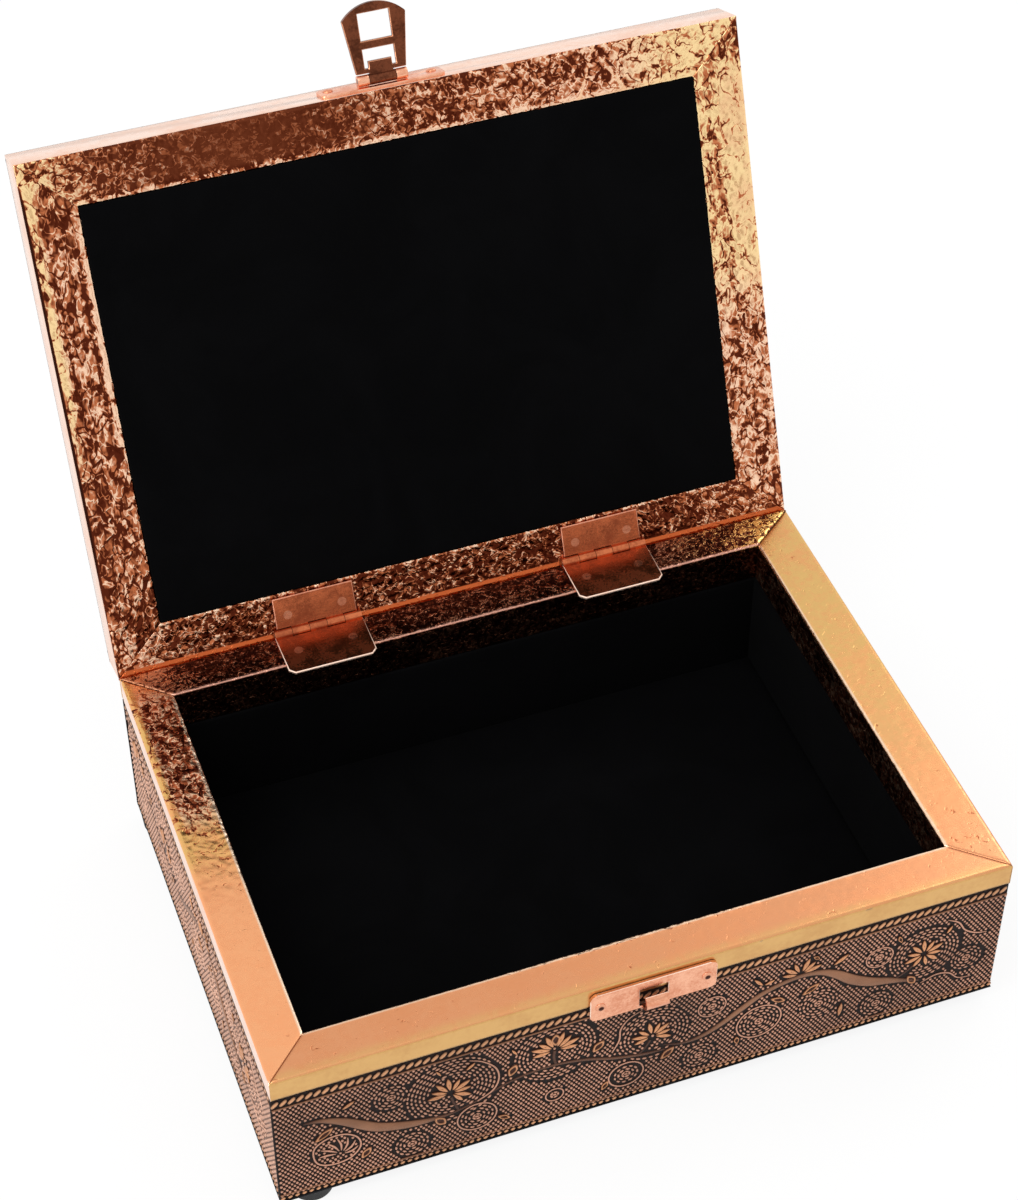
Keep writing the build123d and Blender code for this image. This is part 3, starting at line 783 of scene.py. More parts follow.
class Trees:
    """The geometry node trees, each built once."""

    def __init__(self) -> None:
        """Builds the trees."""
        self.scatter = self._scatter()
        self.stem = self._stem()
        self.crumple = self._crumple()

    @staticmethod
    def _end(s: NodeSketch, geometry: bpy.types.NodeSocket,
             given: bpy.types.bpy_prop_collection) -> bpy.types.NodeTree:
        """Ends a tree in Realize Instances and Set Material.

        Args:
            s: The tree's sketch.
            geometry: What is put out.
            given: What the tree is given, a Material among it.

        Returns:
            The tree.
        """
        real = s.add("GeometryNodeRealizeInstances", {0: geometry}).outputs[0]
        dressed = s.add("GeometryNodeSetMaterial", {"Geometry": real, "Material": given["Material"]})
        s.add("NodeGroupOutput", {0: dressed.outputs[0]})
        return s.tree

    @classmethod
    def _scatter(cls) -> bpy.types.NodeTree:
        """Sets a stamped shape on every point, sized and turned by the point's own values.

        Returns:
            The tree.
        """
        s, given = new_group("scatter_stamps", "GeometryNodeTree", {
            "Geometry": "Geometry", "Shape": "Object", "Unevenness": 0.0, "Seed": 1, "Material": "Material"})
        shape = s.add("GeometryNodeObjectInfo", {"Object": given["Shape"]}).outputs["Geometry"]
        less = s.math("SUBTRACT", 1.0, given["Unevenness"])
        random = s.add("FunctionNodeRandomValue", {2: less, 3: 1.0, "Seed": given["Seed"]},
                       data_type="FLOAT").outputs[1]
        placed = s.add("GeometryNodeInstanceOnPoints", {
            "Points": given["Geometry"], "Instance": shape, "Rotation": s.stored("turn", "FLOAT_VECTOR"),
            "Scale": s.scaled(s.stored("size", "FLOAT_VECTOR"), random)})
        return cls._end(s, placed.outputs[0], given)

    @classmethod
    def _stem(cls) -> bpy.types.NodeTree:
        """Sweeps a flattened round ridge along a line whose points carry its half width.

        Returns:
            The tree.
        """
        s, given = new_group("swept_stem", "GeometryNodeTree", {
            "Geometry": "Geometry", "Sides": 10, "Flatness": 0.3, "Material": "Material"})
        line = s.add("GeometryNodeMeshToCurve", {0: given["Geometry"]}).outputs[0]
        ring = s.add("GeometryNodeCurvePrimitiveCircle", {"Resolution": given["Sides"], "Radius": 1.0})
        swept = s.add("GeometryNodeCurveToMesh", {"Curve": line, "Profile Curve": ring.outputs[0],
                                                  "Scale": s.stored("half_width"), "Fill Caps": True})
        flat = s.add("ShaderNodeCombineXYZ", {0: 1.0, 1: 1.0, 2: given["Flatness"]}).outputs[0]
        pressed = s.add("GeometryNodeTransform", {0: swept.outputs[0], "Scale": flat})
        smooth = s.add("GeometryNodeSetShadeSmooth", {0: pressed.outputs[0]})
        return cls._end(s, smooth.outputs[0], given)

    @classmethod
    def _crumple(cls) -> bpy.types.NodeTree:
        """Crumples foil along its normals, where and as much as its points say.

        Returns:
            The tree.
        """
        s, given = new_group("crumpled_foil", "GeometryNodeTree", {
            "Geometry": "Geometry", "Depth": 0.00015, "Fold Scale": 260.0, "Seed": 1, "Material": "Material"})
        fold = given["Fold Scale"]
        shift = s.math("MULTIPLY", given["Seed"], 0.37)
        where = s.add("ShaderNodeVectorMath", {0: s.add("GeometryNodeInputPosition").outputs[0], 1: shift},
                      operation="ADD").outputs[0]

        def folds(share: float, rough: float, twist: float, power: float) -> bpy.types.NodeSocket:
            """Makes sharp ridges at a share of the fold scale."""
            noise = s.noise(where, s.math("MULTIPLY", fold, share), 2.0, rough, twist)
            away = s.math("ABSOLUTE", s.math("MULTIPLY_ADD", noise, 2.0, -1.0))
            return s.math("POWER", s.math("SUBTRACT", 1.0, s.math("MULTIPLY", away, 2.2), clamp=True), power)

        cells = s.add("ShaderNodeTexVoronoi", {"Vector": where, "Scale": fold}).outputs["Distance"]
        height = s.math("MULTIPLY", folds(0.62, 0.5, 1.1, 1.3), 0.9)
        height = s.math("MULTIPLY_ADD", folds(1.7, 0.55, 0.6, 1.2), 0.55, height)
        height = s.math("MULTIPLY_ADD", cells, -0.75, height)
        height = s.math("MAXIMUM", s.math("MINIMUM", height, 1.0), -1.0)
        depth = s.math("MULTIPLY", s.math("MULTIPLY", height, s.stored("crumple")), given["Depth"])
        push = s.scaled(s.add("GeometryNodeInputNormal").outputs[0], depth)
        moved = s.add("GeometryNodeSetPosition", {"Geometry": given["Geometry"], "Offset": push})
        smooth = s.add("GeometryNodeSetShadeSmooth", {0: moved.outputs[0]})
        return cls._end(s, smooth.outputs[0], given)


TREES = Trees()


class Stamps:
    """The small shapes that are stamped into the sheets, each one unit long, built once."""

    def __init__(self) -> None:
        """Builds the shapes."""
        self.bead = self._bead()
        self.strand = self._strand()
        self.leaf = self._leaf("stamp_leaf", hollow=0.0)
        self.bud = self._leaf("stamp_bud", hollow=0.85)

    @staticmethod
    def _bead() -> bpy.types.Object:
        """A small round grain of twenty faces.

        Returns:
            The shape.
        """
        build = bmesh.new()
        bmesh.ops.create_icosphere(build, subdivisions=1, radius=1.0)
        mesh = bpy.data.meshes.new("stamp_bead")
        build.to_mesh(mesh)
        build.free()
        mesh.shade_smooth()
        return bpy.data.objects.new("stamp_bead", mesh)

    @staticmethod
    def _strand() -> bpy.types.Object:
        """One slanted turn of a rope border, a fat grain drawn out to two points.

        Returns:
            The shape.
        """
        rings, sides = 6, 8
        points = [(0.0, -1.0, 0.0)]
        for i in range(1, rings):
            bulge, along = math.sin(math.pi * i / rings) ** 0.7, -math.cos(math.pi * i / rings)
            for turn in around(sides):
                points.append((bulge * math.cos(turn) + 0.35 * math.sin(along * math.pi) * 0.4,
                               along, bulge * math.sin(turn)))
        points.append((0.0, 1.0, 0.0))
        belt = 1 + Stamps._belts(rings - 1, sides)
        faces = [(0, *pair) for pair in belt[0]] + [(len(points) - 1, *pair) for pair in belt[-1]]
        return Stamps._closed("stamp_strand", points, [*faces, *Stamps._between(belt)])

    @staticmethod
    def _leaf(name: str, hollow: float) -> bpy.types.Object:
        """A pointed leaf from its foot at the origin to its tip at x = 1.

        Args:
            name: The shape's name.
            hollow: How deep its middle is sunk, from 0 to 1.

        Returns:
            The shape.
        """
        sides = 16
        rings = [(1.0, 0.0), (0.9, 0.62), (0.68, 1.0), (0.42, 1.0 - hollow), (0.16, 0.9 - hollow)]
        outline = [(math.cos(t), math.sin(t) * (1 - 0.42 * abs(math.cos(t)) ** 1.5)
                    * (0.42 if math.cos(t) > 0 else 0.38)) for t in around(sides)]
        points = [(0.5 + 0.5 * x, y, -1.0) for x, y in outline]
        points += [(0.5 + 0.5 * x * share, y * share, height) for share, height in rings for x, y in outline]
        points.append((0.5, 0.0, 1.0 - hollow if hollow else 0.55))
        belt = Stamps._belts(len(rings) + 1, sides)
        faces = [(*pair, len(points) - 1) for pair in belt[-1]] + [tuple(range(sides))]
        return Stamps._closed(name, points, [*faces, *Stamps._between(belt)])

    @staticmethod
    def _belts(count: int, sides: int) -> np.ndarray:
        """Numbers the points round each of several rings, in pairs of neighbours."""
        one = np.column_stack([np.arange(sides), np.roll(np.arange(sides), -1)])
        return np.arange(count)[:, None, None] * sides + one

    @staticmethod
    def _between(belts: np.ndarray) -> list[tuple[int, ...]]:
        """Gives the faces between each ring and the next."""
        return [(a, b, d, c) for one, two in zip(belts, belts[1:]) for (a, b), (c, d) in zip(one, two)]

    @staticmethod
    def _closed(name: str, points: Sequence[tuple], faces: Iterable[Sequence[int]]) -> bpy.types.Object:
        """Makes a closed shape from its points and faces."""
        outward(mesh := mesh_of(name, np.array(points), faces))
        return bpy.data.objects.new(name, mesh)


STAMPS = Stamps()


# The ornament, in millimetres on a flat panel


@dataclass(frozen=True)
class Stroke:
    """A smooth ridge through points of (across, up, half width)."""

    points: tuple[tuple[float, float, float], ...]
    closed: bool = False

    def fine(self, step: float = 0.9) -> np.ndarray:
        """Lays a Catmull-Rom line through the points.

        Args:
            step: Distance between the points of the line, in millimetres.

        Returns:
            Rows of across, up and half width.
        """
        base = np.array(self.points)
        count = len(base)
        if self.closed:
            padded_points = np.vstack([base[-1:], base, base[:2]])
            spans = count
        else:
            padded_points = np.vstack([2 * base[0] - base[1], base, 2 * base[-1] - base[-2]])
            spans = count - 1
        rows = []
        for i in range(spans):
            p0, p1, p2, p3 = padded_points[i:i + 4]
            pieces = max(2, int(np.hypot(*(p2 - p1)[:2]) / step))
            for t in np.arange(pieces) / pieces:
                rows.append(0.5 * (2 * p1 + (p2 - p0) * t + (2 * p0 - 5 * p1 + 4 * p2 - p3) * t * t
                                   + (3 * p1 - p0 - 3 * p2 + p3) * t ** 3))
        if not self.closed:
            rows.append(base[-1])
        result = np.array(rows)
        result[:, 2] = np.maximum(result[:, 2], 0.12)
        return result


@dataclass(frozen=True)
class Leaf:
    """A leaf, petal or bud with its foot at (across, up), in degrees from the panel's width."""

    across: float
    up: float
    angle: float
    length: float
    width: float = 1.0
    hollow: bool = False


@dataclass(frozen=True)
class Swirl:
    """A ring-shaped field of grains that run round a centre."""

    across: float
    up: float
    inner: float
    outer: float


def ring_stroke(across: float, up: float, radius: float, half_width: float) -> Stroke:
    """Makes a round ridge about a centre on the panel."""
    return Stroke(tuple((across + radius * math.cos(t), up + radius * math.sin(t), half_width)
                        for t in around(10)), closed=True)


def flower(across: float, up: float, angles: Sequence[float], length: float,
           start: float = 0.9, width: float = 1.05) -> tuple[Leaf, ...]:
    """Makes a flower's petals.

    Args:
        across: Its middle along the panel.
        up: Its middle up the panel.
        angles: The petals' directions in degrees.
        length: The petals' length.
        start: How far from the middle they start.
        width: Their width beside the usual one.

    Returns:
        The petals.
    """
    return tuple(Leaf(across + start * math.cos(math.radians(a)), up + start * math.sin(math.radians(a)),
                      a, length * (1.0 if i % 2 == 0 else 0.86), width)
                 for i, a in enumerate(angles))


@dataclass(frozen=True)
class Ornament:
    """Vines, leaves and swirls, with their origin in the middle of the panel's lower edge."""

    strokes: tuple[Stroke, ...] = ()
    tendrils: tuple[Stroke, ...] = ()
    leaves: tuple[Leaf, ...] = ()
    swirls: tuple[Swirl, ...] = ()

    def moved(self, across: float, up: float, mirrored: bool) -> "Ornament":
        """Moves and mirrors the ornament.

        Args:
            across: How far it moves along the panel.
            up: How far it moves up the panel.
            mirrored: Whether it is turned left to right first.

        Returns:
            The new ornament.
        """
        sign = -1 if mirrored else 1

        def bend(strokes: tuple[Stroke, ...]) -> tuple[Stroke, ...]:
            """Moves strokes."""
            return tuple(replace(stroke, points=tuple((sign * x + across, y + up, width)
                                                      for x, y, width in stroke.points))
                         for stroke in strokes)

        return Ornament(
            bend(self.strokes), bend(self.tendrils),
            tuple(replace(leaf, across=sign * leaf.across + across, up=leaf.up + up,
                          angle=180 - leaf.angle if mirrored else leaf.angle) for leaf in self.leaves),
            tuple(replace(swirl, across=sign * swirl.across + across, up=swirl.up + up)
                  for swirl in self.swirls))

    def within(self, half: float, low: float, high: float) -> "Ornament":
        """Keeps what lies inside a panel.

        Args:
            half: Half the panel's width.
            low: The lowest place kept.
            high: The highest place kept.

        Returns:
            The new ornament.
        """
        def clipped(strokes: tuple[Stroke, ...]) -> tuple[Stroke, ...]:
            """Cuts strokes at the panel's sides, and drops a closed one that crosses them.

            Args:
                strokes: The strokes.

            Returns:
                The kept ones.
            """
            result = []
            for stroke in strokes:
                kept = tuple(p for p in stroke.points if abs(p[0]) < half - 1 and low < p[1] < high)
                if len(kept) == len(stroke.points):
                    result.append(stroke)
                elif len(kept) > 2 and not stroke.closed:
                    result.append(Stroke(kept))
            return tuple(result)

        leaves = tuple(leaf for leaf in self.leaves
                       if abs(leaf.across) < half - leaf.length and low + 1 < leaf.up < high - 1)
        return Ornament(clipped(self.strokes), clipped(self.tendrils), leaves, self.swirls)

    def joined(self, other: "Ornament") -> "Ornament":
        """Adds another ornament to this one."""
        return Ornament(self.strokes + other.strokes, self.tendrils + other.tendrils,
                        self.leaves + other.leaves, self.swirls + other.swirls)


FRONT_ORNAMENT = Ornament(
    strokes=(
        Stroke(((-93.6, 30.6, 0.3), (-89.0, 30.0, 0.9), (-83.7, 27.3, 1.45), (-79.0, 23.7, 1.75),
                (-74.3, 20.3, 1.85), (-68.3, 18.0, 1.65), (-63.0, 16.8, 1.25), (-57.7, 16.4, 0.7),
                (-52.5, 17.0, 0.45), (-46.3, 19.2, 0.4), (-40.5, 22.0, 0.45), (-33.5, 23.8, 0.5),
                (-26.0, 24.0, 0.55), (-18.0, 22.4, 0.6), (-10.0, 19.3, 0.65), (-2.0, 17.2, 0.6),
                (4.5, 16.5, 0.4))),
        Stroke(((4.0, 18.6, 0.25), (9.3, 16.9, 0.5), (14.7, 17.4, 0.85), (20.0, 20.0, 1.05),
                (26.0, 24.3, 1.2), (31.3, 27.8, 1.05), (37.3, 29.9, 0.95), (43.3, 30.6, 0.95),
                (48.7, 29.5, 1.2), (53.3, 26.6, 1.6), (58.0, 22.4, 1.9), (63.3, 19.1, 1.85),
                (68.7, 17.1, 1.4), (73.3, 15.2, 0.85), (78.5, 13.0, 0.35))),
        Stroke(((-52.6, 17.0, 0.35), (-53.8, 20.5, 0.4), (-54.6, 23.5, 0.4))),
        Stroke(((-26.0, 24.0, 0.4), (-26.6, 27.5, 0.45), (-26.4, 30.2, 0.5))),
        Stroke(((-3.0, 17.4, 0.35), (-1.0, 20.0, 0.4), (0.2, 22.4, 0.4))),
        Stroke(((70.5, 16.4, 0.35), (74.5, 19.0, 0.4), (77.6, 22.4, 0.4))),
    ),
    tendrils=(
        ring_stroke(-47.7, 12.0, 5.4, 0.28),
        ring_stroke(-6.3, 10.8, 4.9, 0.28),
        ring_stroke(31.3, 16.4, 6.4, 0.28),
        ring_stroke(17.3, 29.0, 3.9, 0.26),
        ring_stroke(65.3, 28.6, 3.9, 0.26),
        ring_stroke(-26.3, 11.2, 2.5, 0.26),
        Stroke(((-47.5, 18.6, 0.25), (-43.2, 21.5, 0.3), (-41.6, 26.0, 0.3), (-42.6, 30.8, 0.3),
                (-46.0, 34.8, 0.25), (-49.5, 36.8, 0.2))),
        Stroke(((-10.5, 22.0, 0.25), (-8.6, 26.5, 0.3), (-8.3, 31.0, 0.3), (-6.0, 34.6, 0.25),
                (-2.5, 36.4, 0.2))),
        Stroke(((-91.6, 15.0, 0.3), (-91.2, 19.2, 0.3), (-87.6, 21.8, 0.3), (-83.2, 21.6, 0.3),
                (-79.8, 18.6, 0.3), (-79.2, 14.4, 0.3), (-82.0, 10.8, 0.3), (-86.4, 10.0, 0.3),
                (-90.2, 11.6, 0.3)), closed=True),
        *(Stroke(((-84.6 + 1.2 * math.cos(t), 13.9 + 1.2 * math.sin(t), 0.2),
                  (-84.8 + 3.4 * math.cos(t + 0.12), 14.4 + 3.4 * math.sin(t + 0.12), 0.36),
                  (-85.0 + 5.2 * math.cos(t + 0.3), 15.2 + 5.2 * math.sin(t + 0.3), 0.2)))
          for t in (-0.35, 0.2, 0.75, 1.3, 1.85, 2.4, 2.95)),
        Stroke(((84.5, 36.0, 0.2), (88.0, 33.5, 0.3), (90.2, 29.6, 0.3), (93.6, 27.0, 0.3),
                (97.0, 26.0, 0.2))),
        Stroke(((79.0, 11.6, 0.2), (83.6, 13.4, 0.3), (87.6, 12.2, 0.3), (90.4, 9.0, 0.25),
                (94.5, 8.0, 0.2))),
    ),
    leaves=(
        *flower(-54.7, 25.6, (96, 62, 32, 5, -28, -54, 128, 158, 184), 5.6),
        *flower(-26.3, 30.6, (70, 45, 20, -4, 112, 137, 160, 184), 6.0, 1.2),
        Leaf(-26.2, 32.2, 90, 5.2, 1.35, True),
        *flower(0.6, 24.2, (100, 66, 38, 8, -22, 138, 168, 198), 5.2),
        *flower(42.2, 31.6, (68, 42, 16, 112, 140, 166), 5.4, 1.0),
        Leaf(45.4, 37.6, -40, 2.6, 1.3, True),
        *flower(78.7, 24.4, (95, 60, 25, -8, -42, -78, 130, 165, 200, 236), 5.3, 0.8),
        Leaf(-83.6, 32.2, 32, 4.4, 0.9),
        Leaf(-91.2, 21.6, 40, 7.0, 0.85, True),
        Leaf(-59.2, 16.8, -52, 5.0, 1.5, True),
        Leaf(-79.2, 8.8, 56, 5.0, 1.3, True),
        Leaf(-38.9, 25.0, 66, 5.0, 1.45, True),
        Leaf(-16.0, 24.6, 52, 5.2, 1.4, True),
        Leaf(-42.2, 9.4, -32, 4.4, 1.1, True),
        Leaf(-13.2, 6.8, 62, 4.0, 1.2, True),
        Leaf(3.2, 12.6, 46, 5.8, 1.2, True),
        Leaf(31.6, 31.6, 128, 4.6, 0.9),
        Leaf(31.8, 31.6, 20, 3.4, 0.9),
        Leaf(51.6, 31.2, 36, 5.4, 0.9),
        Leaf(34.0, 24.8, -30, 5.4, 1.0, True),
        Leaf(43.2, 22.0, 34, 6.2, 1.0, True),
        Leaf(55.0, 7.8, 84, 5.8, 0.9),
        Leaf(25.4, 9.2, 96, 3.4, 1.3, True),
        Leaf(74.6, 16.6, -58, 5.0, 1.4, True),
        Leaf(-36.6, 33.4, 120, 3.2, 0.9),
        Leaf(-50.6, 33.2, 40, 3.6, 0.9),
        Leaf(-57.0, 34.0, 120, 3.0, 0.9),
        Leaf(84.6, 30.4, 60, 3.2, 0.9),
        Leaf(71.4, 32.2, 110, 3.4, 1.0, True),
    ),
    swirls=(
        Swirl(-54.0, 26.6, 6.8, 13.2), Swirl(-47.7, 12.0, 0.0, 5.0), Swirl(-6.3, 10.8, 0.0, 4.5),
        Swirl(0.6, 25.0, 6.6, 10.4), Swirl(31.3, 16.4, 0.0, 6.0), Swirl(48.6, 16.2, 0.0, 5.6),
        Swirl(17.3, 29.0, 0.0, 3.5), Swirl(65.3, 28.6, 0.0, 3.5), Swirl(-26.3, 30.0, 7.6, 12.0),
        Swirl(78.7, 24.4, 6.6, 11.0), Swirl(-26.3, 11.2, 0.0, 2.1), Swirl(-65.5, 8.6, 0.0, 5.2),
        Swirl(14.5, 9.4, 0.0, 5.0), Swirl(66.0, 8.6, 0.0, 5.0), Swirl(92.0, 17.0, 0.0, 5.2),
        Swirl(-70.5, 31.0, 0.0, 5.0),
    ),
)


@dataclass
class GrainField:
    """The ground of small grains between the ornament: where each one stands."""

    half: float
    low: float
    high: float
    ornament: Ornament
    pitch: float = 1.4
    row: float = 1.02
    clearance: float = 0.42

    def lay(self) -> np.ndarray:
        """Lays the grains.

        Returns:
            A row for each: its place and half sizes in millimetres and its turn in radians.
        """
        rows = self._lattice()
        free = np.ones(len(rows), dtype=bool)
        for swirl in self.ornament.swirls:
            away = np.hypot(rows[:, 0] - swirl.across, rows[:, 1] - swirl.up)
            free &= (away < swirl.inner - 0.5 * self.row) | (away > swirl.outer + 0.35 * self.row)
        rows = np.vstack([rows[free], *map(self._rings, self.ornament.swirls)])
        rows = rows[self._clear_of_ornament(rows)]
        return rows[self._not_crowded(rows)]

    def _lattice(self) -> np.ndarray:
        """Rows of grains, each second row moved by half a step.

        Returns:
            The grains.
        """
        return np.array([(across, up, 0.36 * self.pitch, 0.58 * self.row, 0.0)
                         for i, up in enumerate(np.arange(self.low, self.high, self.row))
                         for across in np.arange(-self.half + 0.8 + (0.5 * self.pitch if i % 2 else 0.0),
                                                 self.half - 0.5, self.pitch)])

    def _rings(self, swirl: Swirl) -> np.ndarray:
        """Grains that run round a swirl's centre, within the panel.

        Args:
            swirl: The swirl.

        Returns:
            A row for each, as lay gives them.
        """
        step = 1.08 * self.row
        spots = [] if swirl.inner else [(swirl.across, swirl.up, 0.0)]
        for i, radius in enumerate(np.arange(swirl.inner or 0.9 * step, swirl.outer, step)):
            count = max(5, int(2 * math.pi * radius / (1.28 * self.pitch)))
            for k in range(count):
                angle = 2 * math.pi * (k + 0.5 * (i % 2)) / count
                spots.append((swirl.across + radius * math.cos(angle), swirl.up + radius * math.sin(angle),
                              angle + math.pi / 2))
        return np.array([(x, y, 0.62 * self.pitch, 0.42 * self.row, turn) for x, y, turn in spots
                         if abs(x) < self.half - 0.6 and self.low <= y <= self.high]).reshape(-1, 5)

    def _clear_of_ornament(self, places: np.ndarray) -> np.ndarray:
        """Tells which grains stand clear of the vines and leaves.

        Args:
            places: The grains' places, in the first two columns.

        Returns:
            True for each grain that is kept.
        """
        kept = np.ones(len(places), dtype=bool)
        for stroke in (*self.ornament.strokes, *self.ornament.tendrils):
            for across, up, half_width in stroke.fine(0.6):
                away = np.hypot(places[:, 0] - across, places[:, 1] - up)
                kept &= away > half_width + self.clearance
        for leaf in self.ornament.leaves:
            angle = math.radians(leaf.angle)
            dx, dy = places[:, 0] - leaf.across, places[:, 1] - leaf.up
            along = dx * math.cos(angle) + dy * math.sin(angle)
            aside = -dx * math.sin(angle) + dy * math.cos(angle)
            half = 0.15 * leaf.length * leaf.width + self.clearance
            far = ((along - leaf.length / 2) / (leaf.length / 2 + self.clearance)) ** 2
            kept &= far + (aside / half) ** 2 > 1.0
        return kept

    def _not_crowded(self, places: np.ndarray) -> np.ndarray:
        """Drops each grain that stands on an earlier one.

        Args:
            places: The grains' places, in the first two columns.

        Returns:
            True for each grain that is kept.
        """
        least = 0.62 * self.row
        cells: dict[tuple[int, int], list[int]] = {}
        kept = np.ones(len(places), dtype=bool)
        for i, (x, y) in enumerate(places[:, :2]):
            cell = (int(x // least), int(y // least))
            near = [j for a in (-1, 0, 1) for b in (-1, 0, 1)
                    for j in cells.get((cell[0] + a, cell[1] + b), ())]
            if any(math.hypot(places[j, 0] - x, places[j, 1] - y) < least for j in near):
                kept[i] = False
            else:
                cells.setdefault(cell, []).append(i)
        return kept


GRAIN_HEIGHT, RELIEF_HEIGHT = 0.44, 0.46
ROPE_SLANT = -0.62
STROKE_SIDES = 12


@dataclass
class EmbossedPanel:
    """One embossed sheet: a plate with grains, vines, leaves and rope borders raised on it."""

    name: str
    node: str
    body: Body
    placing: Matrix
    width: float
    height: float
    ornament: Ornament
    ropes: tuple[tuple[float, float, float], ...]
    pitch: float = 1.4
    row: float = 1.02
    sheet_depth: float = 1.0
    ground_depth: float = 0.5
    seed: int = 3
    ropes_upright: bool = False
    kind: str = ""

    @property
    def ground(self) -> float:
        """The ground's height, in metres below the sheet's outer face."""
        return -self.ground_depth * MM

    def _stamped(self, label: str, shape: bpy.types.Object, rows: Sequence[tuple] | np.ndarray, height: float,
                 finish: str, uneven: float = 0.0) -> bpy.types.Mesh:
        """Sets a shape on points.

        Args:
            label: The mesh's name.
            shape: The shape.
            rows: A row for each stamp: its place and half sizes in millimetres and its turn in radians.
            height: Height in millimetres.
            finish: The finish.
            uneven: How uneven the sizes are.

        Returns:
            The mesh.
        """
        table = np.array(rows)
        count = len(table)
        mesh = mesh_of(f"{self.name}_{label}",
                       np.column_stack([table[:, :2] * MM, np.full(count, self.ground)]))
        store(mesh, "size", np.column_stack([table[:, 2:4], np.full(count, height)]) * MM)
        store(mesh, "turn", np.column_stack([np.zeros((count, 2)), table[:, 4]]))
        return run_tree(mesh, TREES.scatter, {
            "Shape": shape, "Unevenness": uneven, "Seed": self.seed, "Material": material(finish)})

    def _grains(self) -> bpy.types.Mesh:
        """Makes the ground of grains.

        Returns:
            The mesh.
        """
        low = min((up + deep for up, deep, _ in self.ropes if up < self.height / 2), default=0.0) + 0.4
        high = max((up - deep for up, deep, _ in self.ropes if up > self.height / 2), default=self.height)
        half = self.width / 2 - (self.ropes[0][1] * 2 + 0.6 if self.ropes_upright else 0.0)
        rows = GrainField(half, low, high - 1.3, self.ornament, self.pitch, self.row).lay()
        return self._stamped("grains", STAMPS.bead, rows, GRAIN_HEIGHT, f"embossed_beads{self.kind}", 0.14)

    def _sweep(self, strokes: Sequence[Stroke], finish: str, flatness: float) -> list[bpy.types.Mesh]:
        """Sweeps ridges along strokes.

        Args:
            strokes: The strokes.
            finish: The finish.
            flatness: Height beside width.

        Returns:
            The meshes.
        """
        meshes = []
        for stroke in strokes:
            rows = stroke.fine()
            count = len(rows)
            edges = [(i, i + 1) for i in range(count - 1)] + ([(count - 1, 0)] if stroke.closed else [])
            points = np.column_stack([rows[:, :2] * MM, np.zeros(count)])
            mesh = mesh_of(f"{self.name}_stroke", points, edges=edges)
            store(mesh, "half_width", rows[:, 2] * MM)
            swept = run_tree(mesh, TREES.stem, {
                "Sides": STROKE_SIDES, "Flatness": flatness, "Material": material(finish)})
            lift = vertices(swept)
            lift[:, 2] += self.ground
            swept.vertices.foreach_set("co", lift.ravel())
            meshes.append(swept)
        return meshes

    def _leaves(self) -> list[bpy.types.Mesh]:
        """Makes the leaves, petals and buds.

        Returns:
            The meshes.
        """
        meshes = []
        for label, shape, slim in (("leaves", STAMPS.leaf, 0.33), ("buds", STAMPS.bud, 0.5)):
            rows = [(leaf.across, leaf.up, leaf.length, leaf.length * leaf.width * slim,
                     math.radians(leaf.angle))
                    for leaf in self.ornament.leaves if leaf.hollow == (label == "buds")]
            if rows:
                meshes.append(self._stamped(label, shape, rows, RELIEF_HEIGHT, "embossed_leaf"))
        return meshes

    def _rope(self) -> list[bpy.types.Mesh]:
        """Makes the rope borders and the thin lines beside them.

        Returns:
            The meshes.
        """
        rows, lines, half = [], [], self.width / 2
        for up, deep, step in self.ropes:
            rows += [(across, up, 0.36 * step, deep * 1.12, ROPE_SLANT)
                     for across in np.arange(-half + 0.5 * step, half, step)]
            at = up + (-1 if up > self.height / 2 else 1) * (deep + 0.75)
            lines.append(Stroke(((-half + 0.3, at, 0.34), (0.0, at, 0.34), (half - 0.3, at, 0.34))))
        if self.ropes_upright:
            _, deep, step = self.ropes[0]
            rows += [(side * (half - deep - 0.5), up, 0.36 * step, deep * 1.12, ROPE_SLANT + math.pi / 2)
                     for side in (-1, 1)
                     for up in np.arange(2 * deep + 0.5 * step, self.height - 2 * deep, step)]
        ropes = self._stamped("rope", STAMPS.strand, rows, RELIEF_HEIGHT, "embossed_rope")
        return [ropes, *self._sweep(lines, "embossed_vine", 1.0)]

    def _plate(self) -> bpy.types.Mesh:
        """Makes the plate below the raised work, with its long edges rolled over.

        Returns:
            The mesh.
        """
        build = bmesh.new()
        bmesh.ops.create_cube(build, size=1.0)
        deep = self.sheet_depth - self.ground_depth
        for vertex in build.verts:
            vertex.co.x *= self.width * MM
            vertex.co.y = (vertex.co.y + 0.5) * self.height * MM
            vertex.co.z = (vertex.co.z - 0.5) * deep * MM + self.ground
        upper = [edge for edge in build.edges if all(v.co.z > self.ground - 1e-6 for v in edge.verts)]
        bmesh.ops.bevel(build, geom=upper, offset=0.35 * MM, segments=3, affect="EDGES", profile=0.5)
        mesh = bpy.data.meshes.new(f"{self.name}_plate")
        build.to_mesh(mesh)
        build.free()
        mesh.materials.append(material(f"embossed_ground{self.kind}"))
        return mesh

    def _relief(self, mesh: bpy.types.Mesh) -> None:
        """Stores how far each vertex stands up from the ground, from 0 to 1."""
        height = (vertices(mesh)[:, 2] - self.ground) / (self.ground_depth * MM)
        store(mesh, "relief", np.clip(height, 0.0, 1.0))

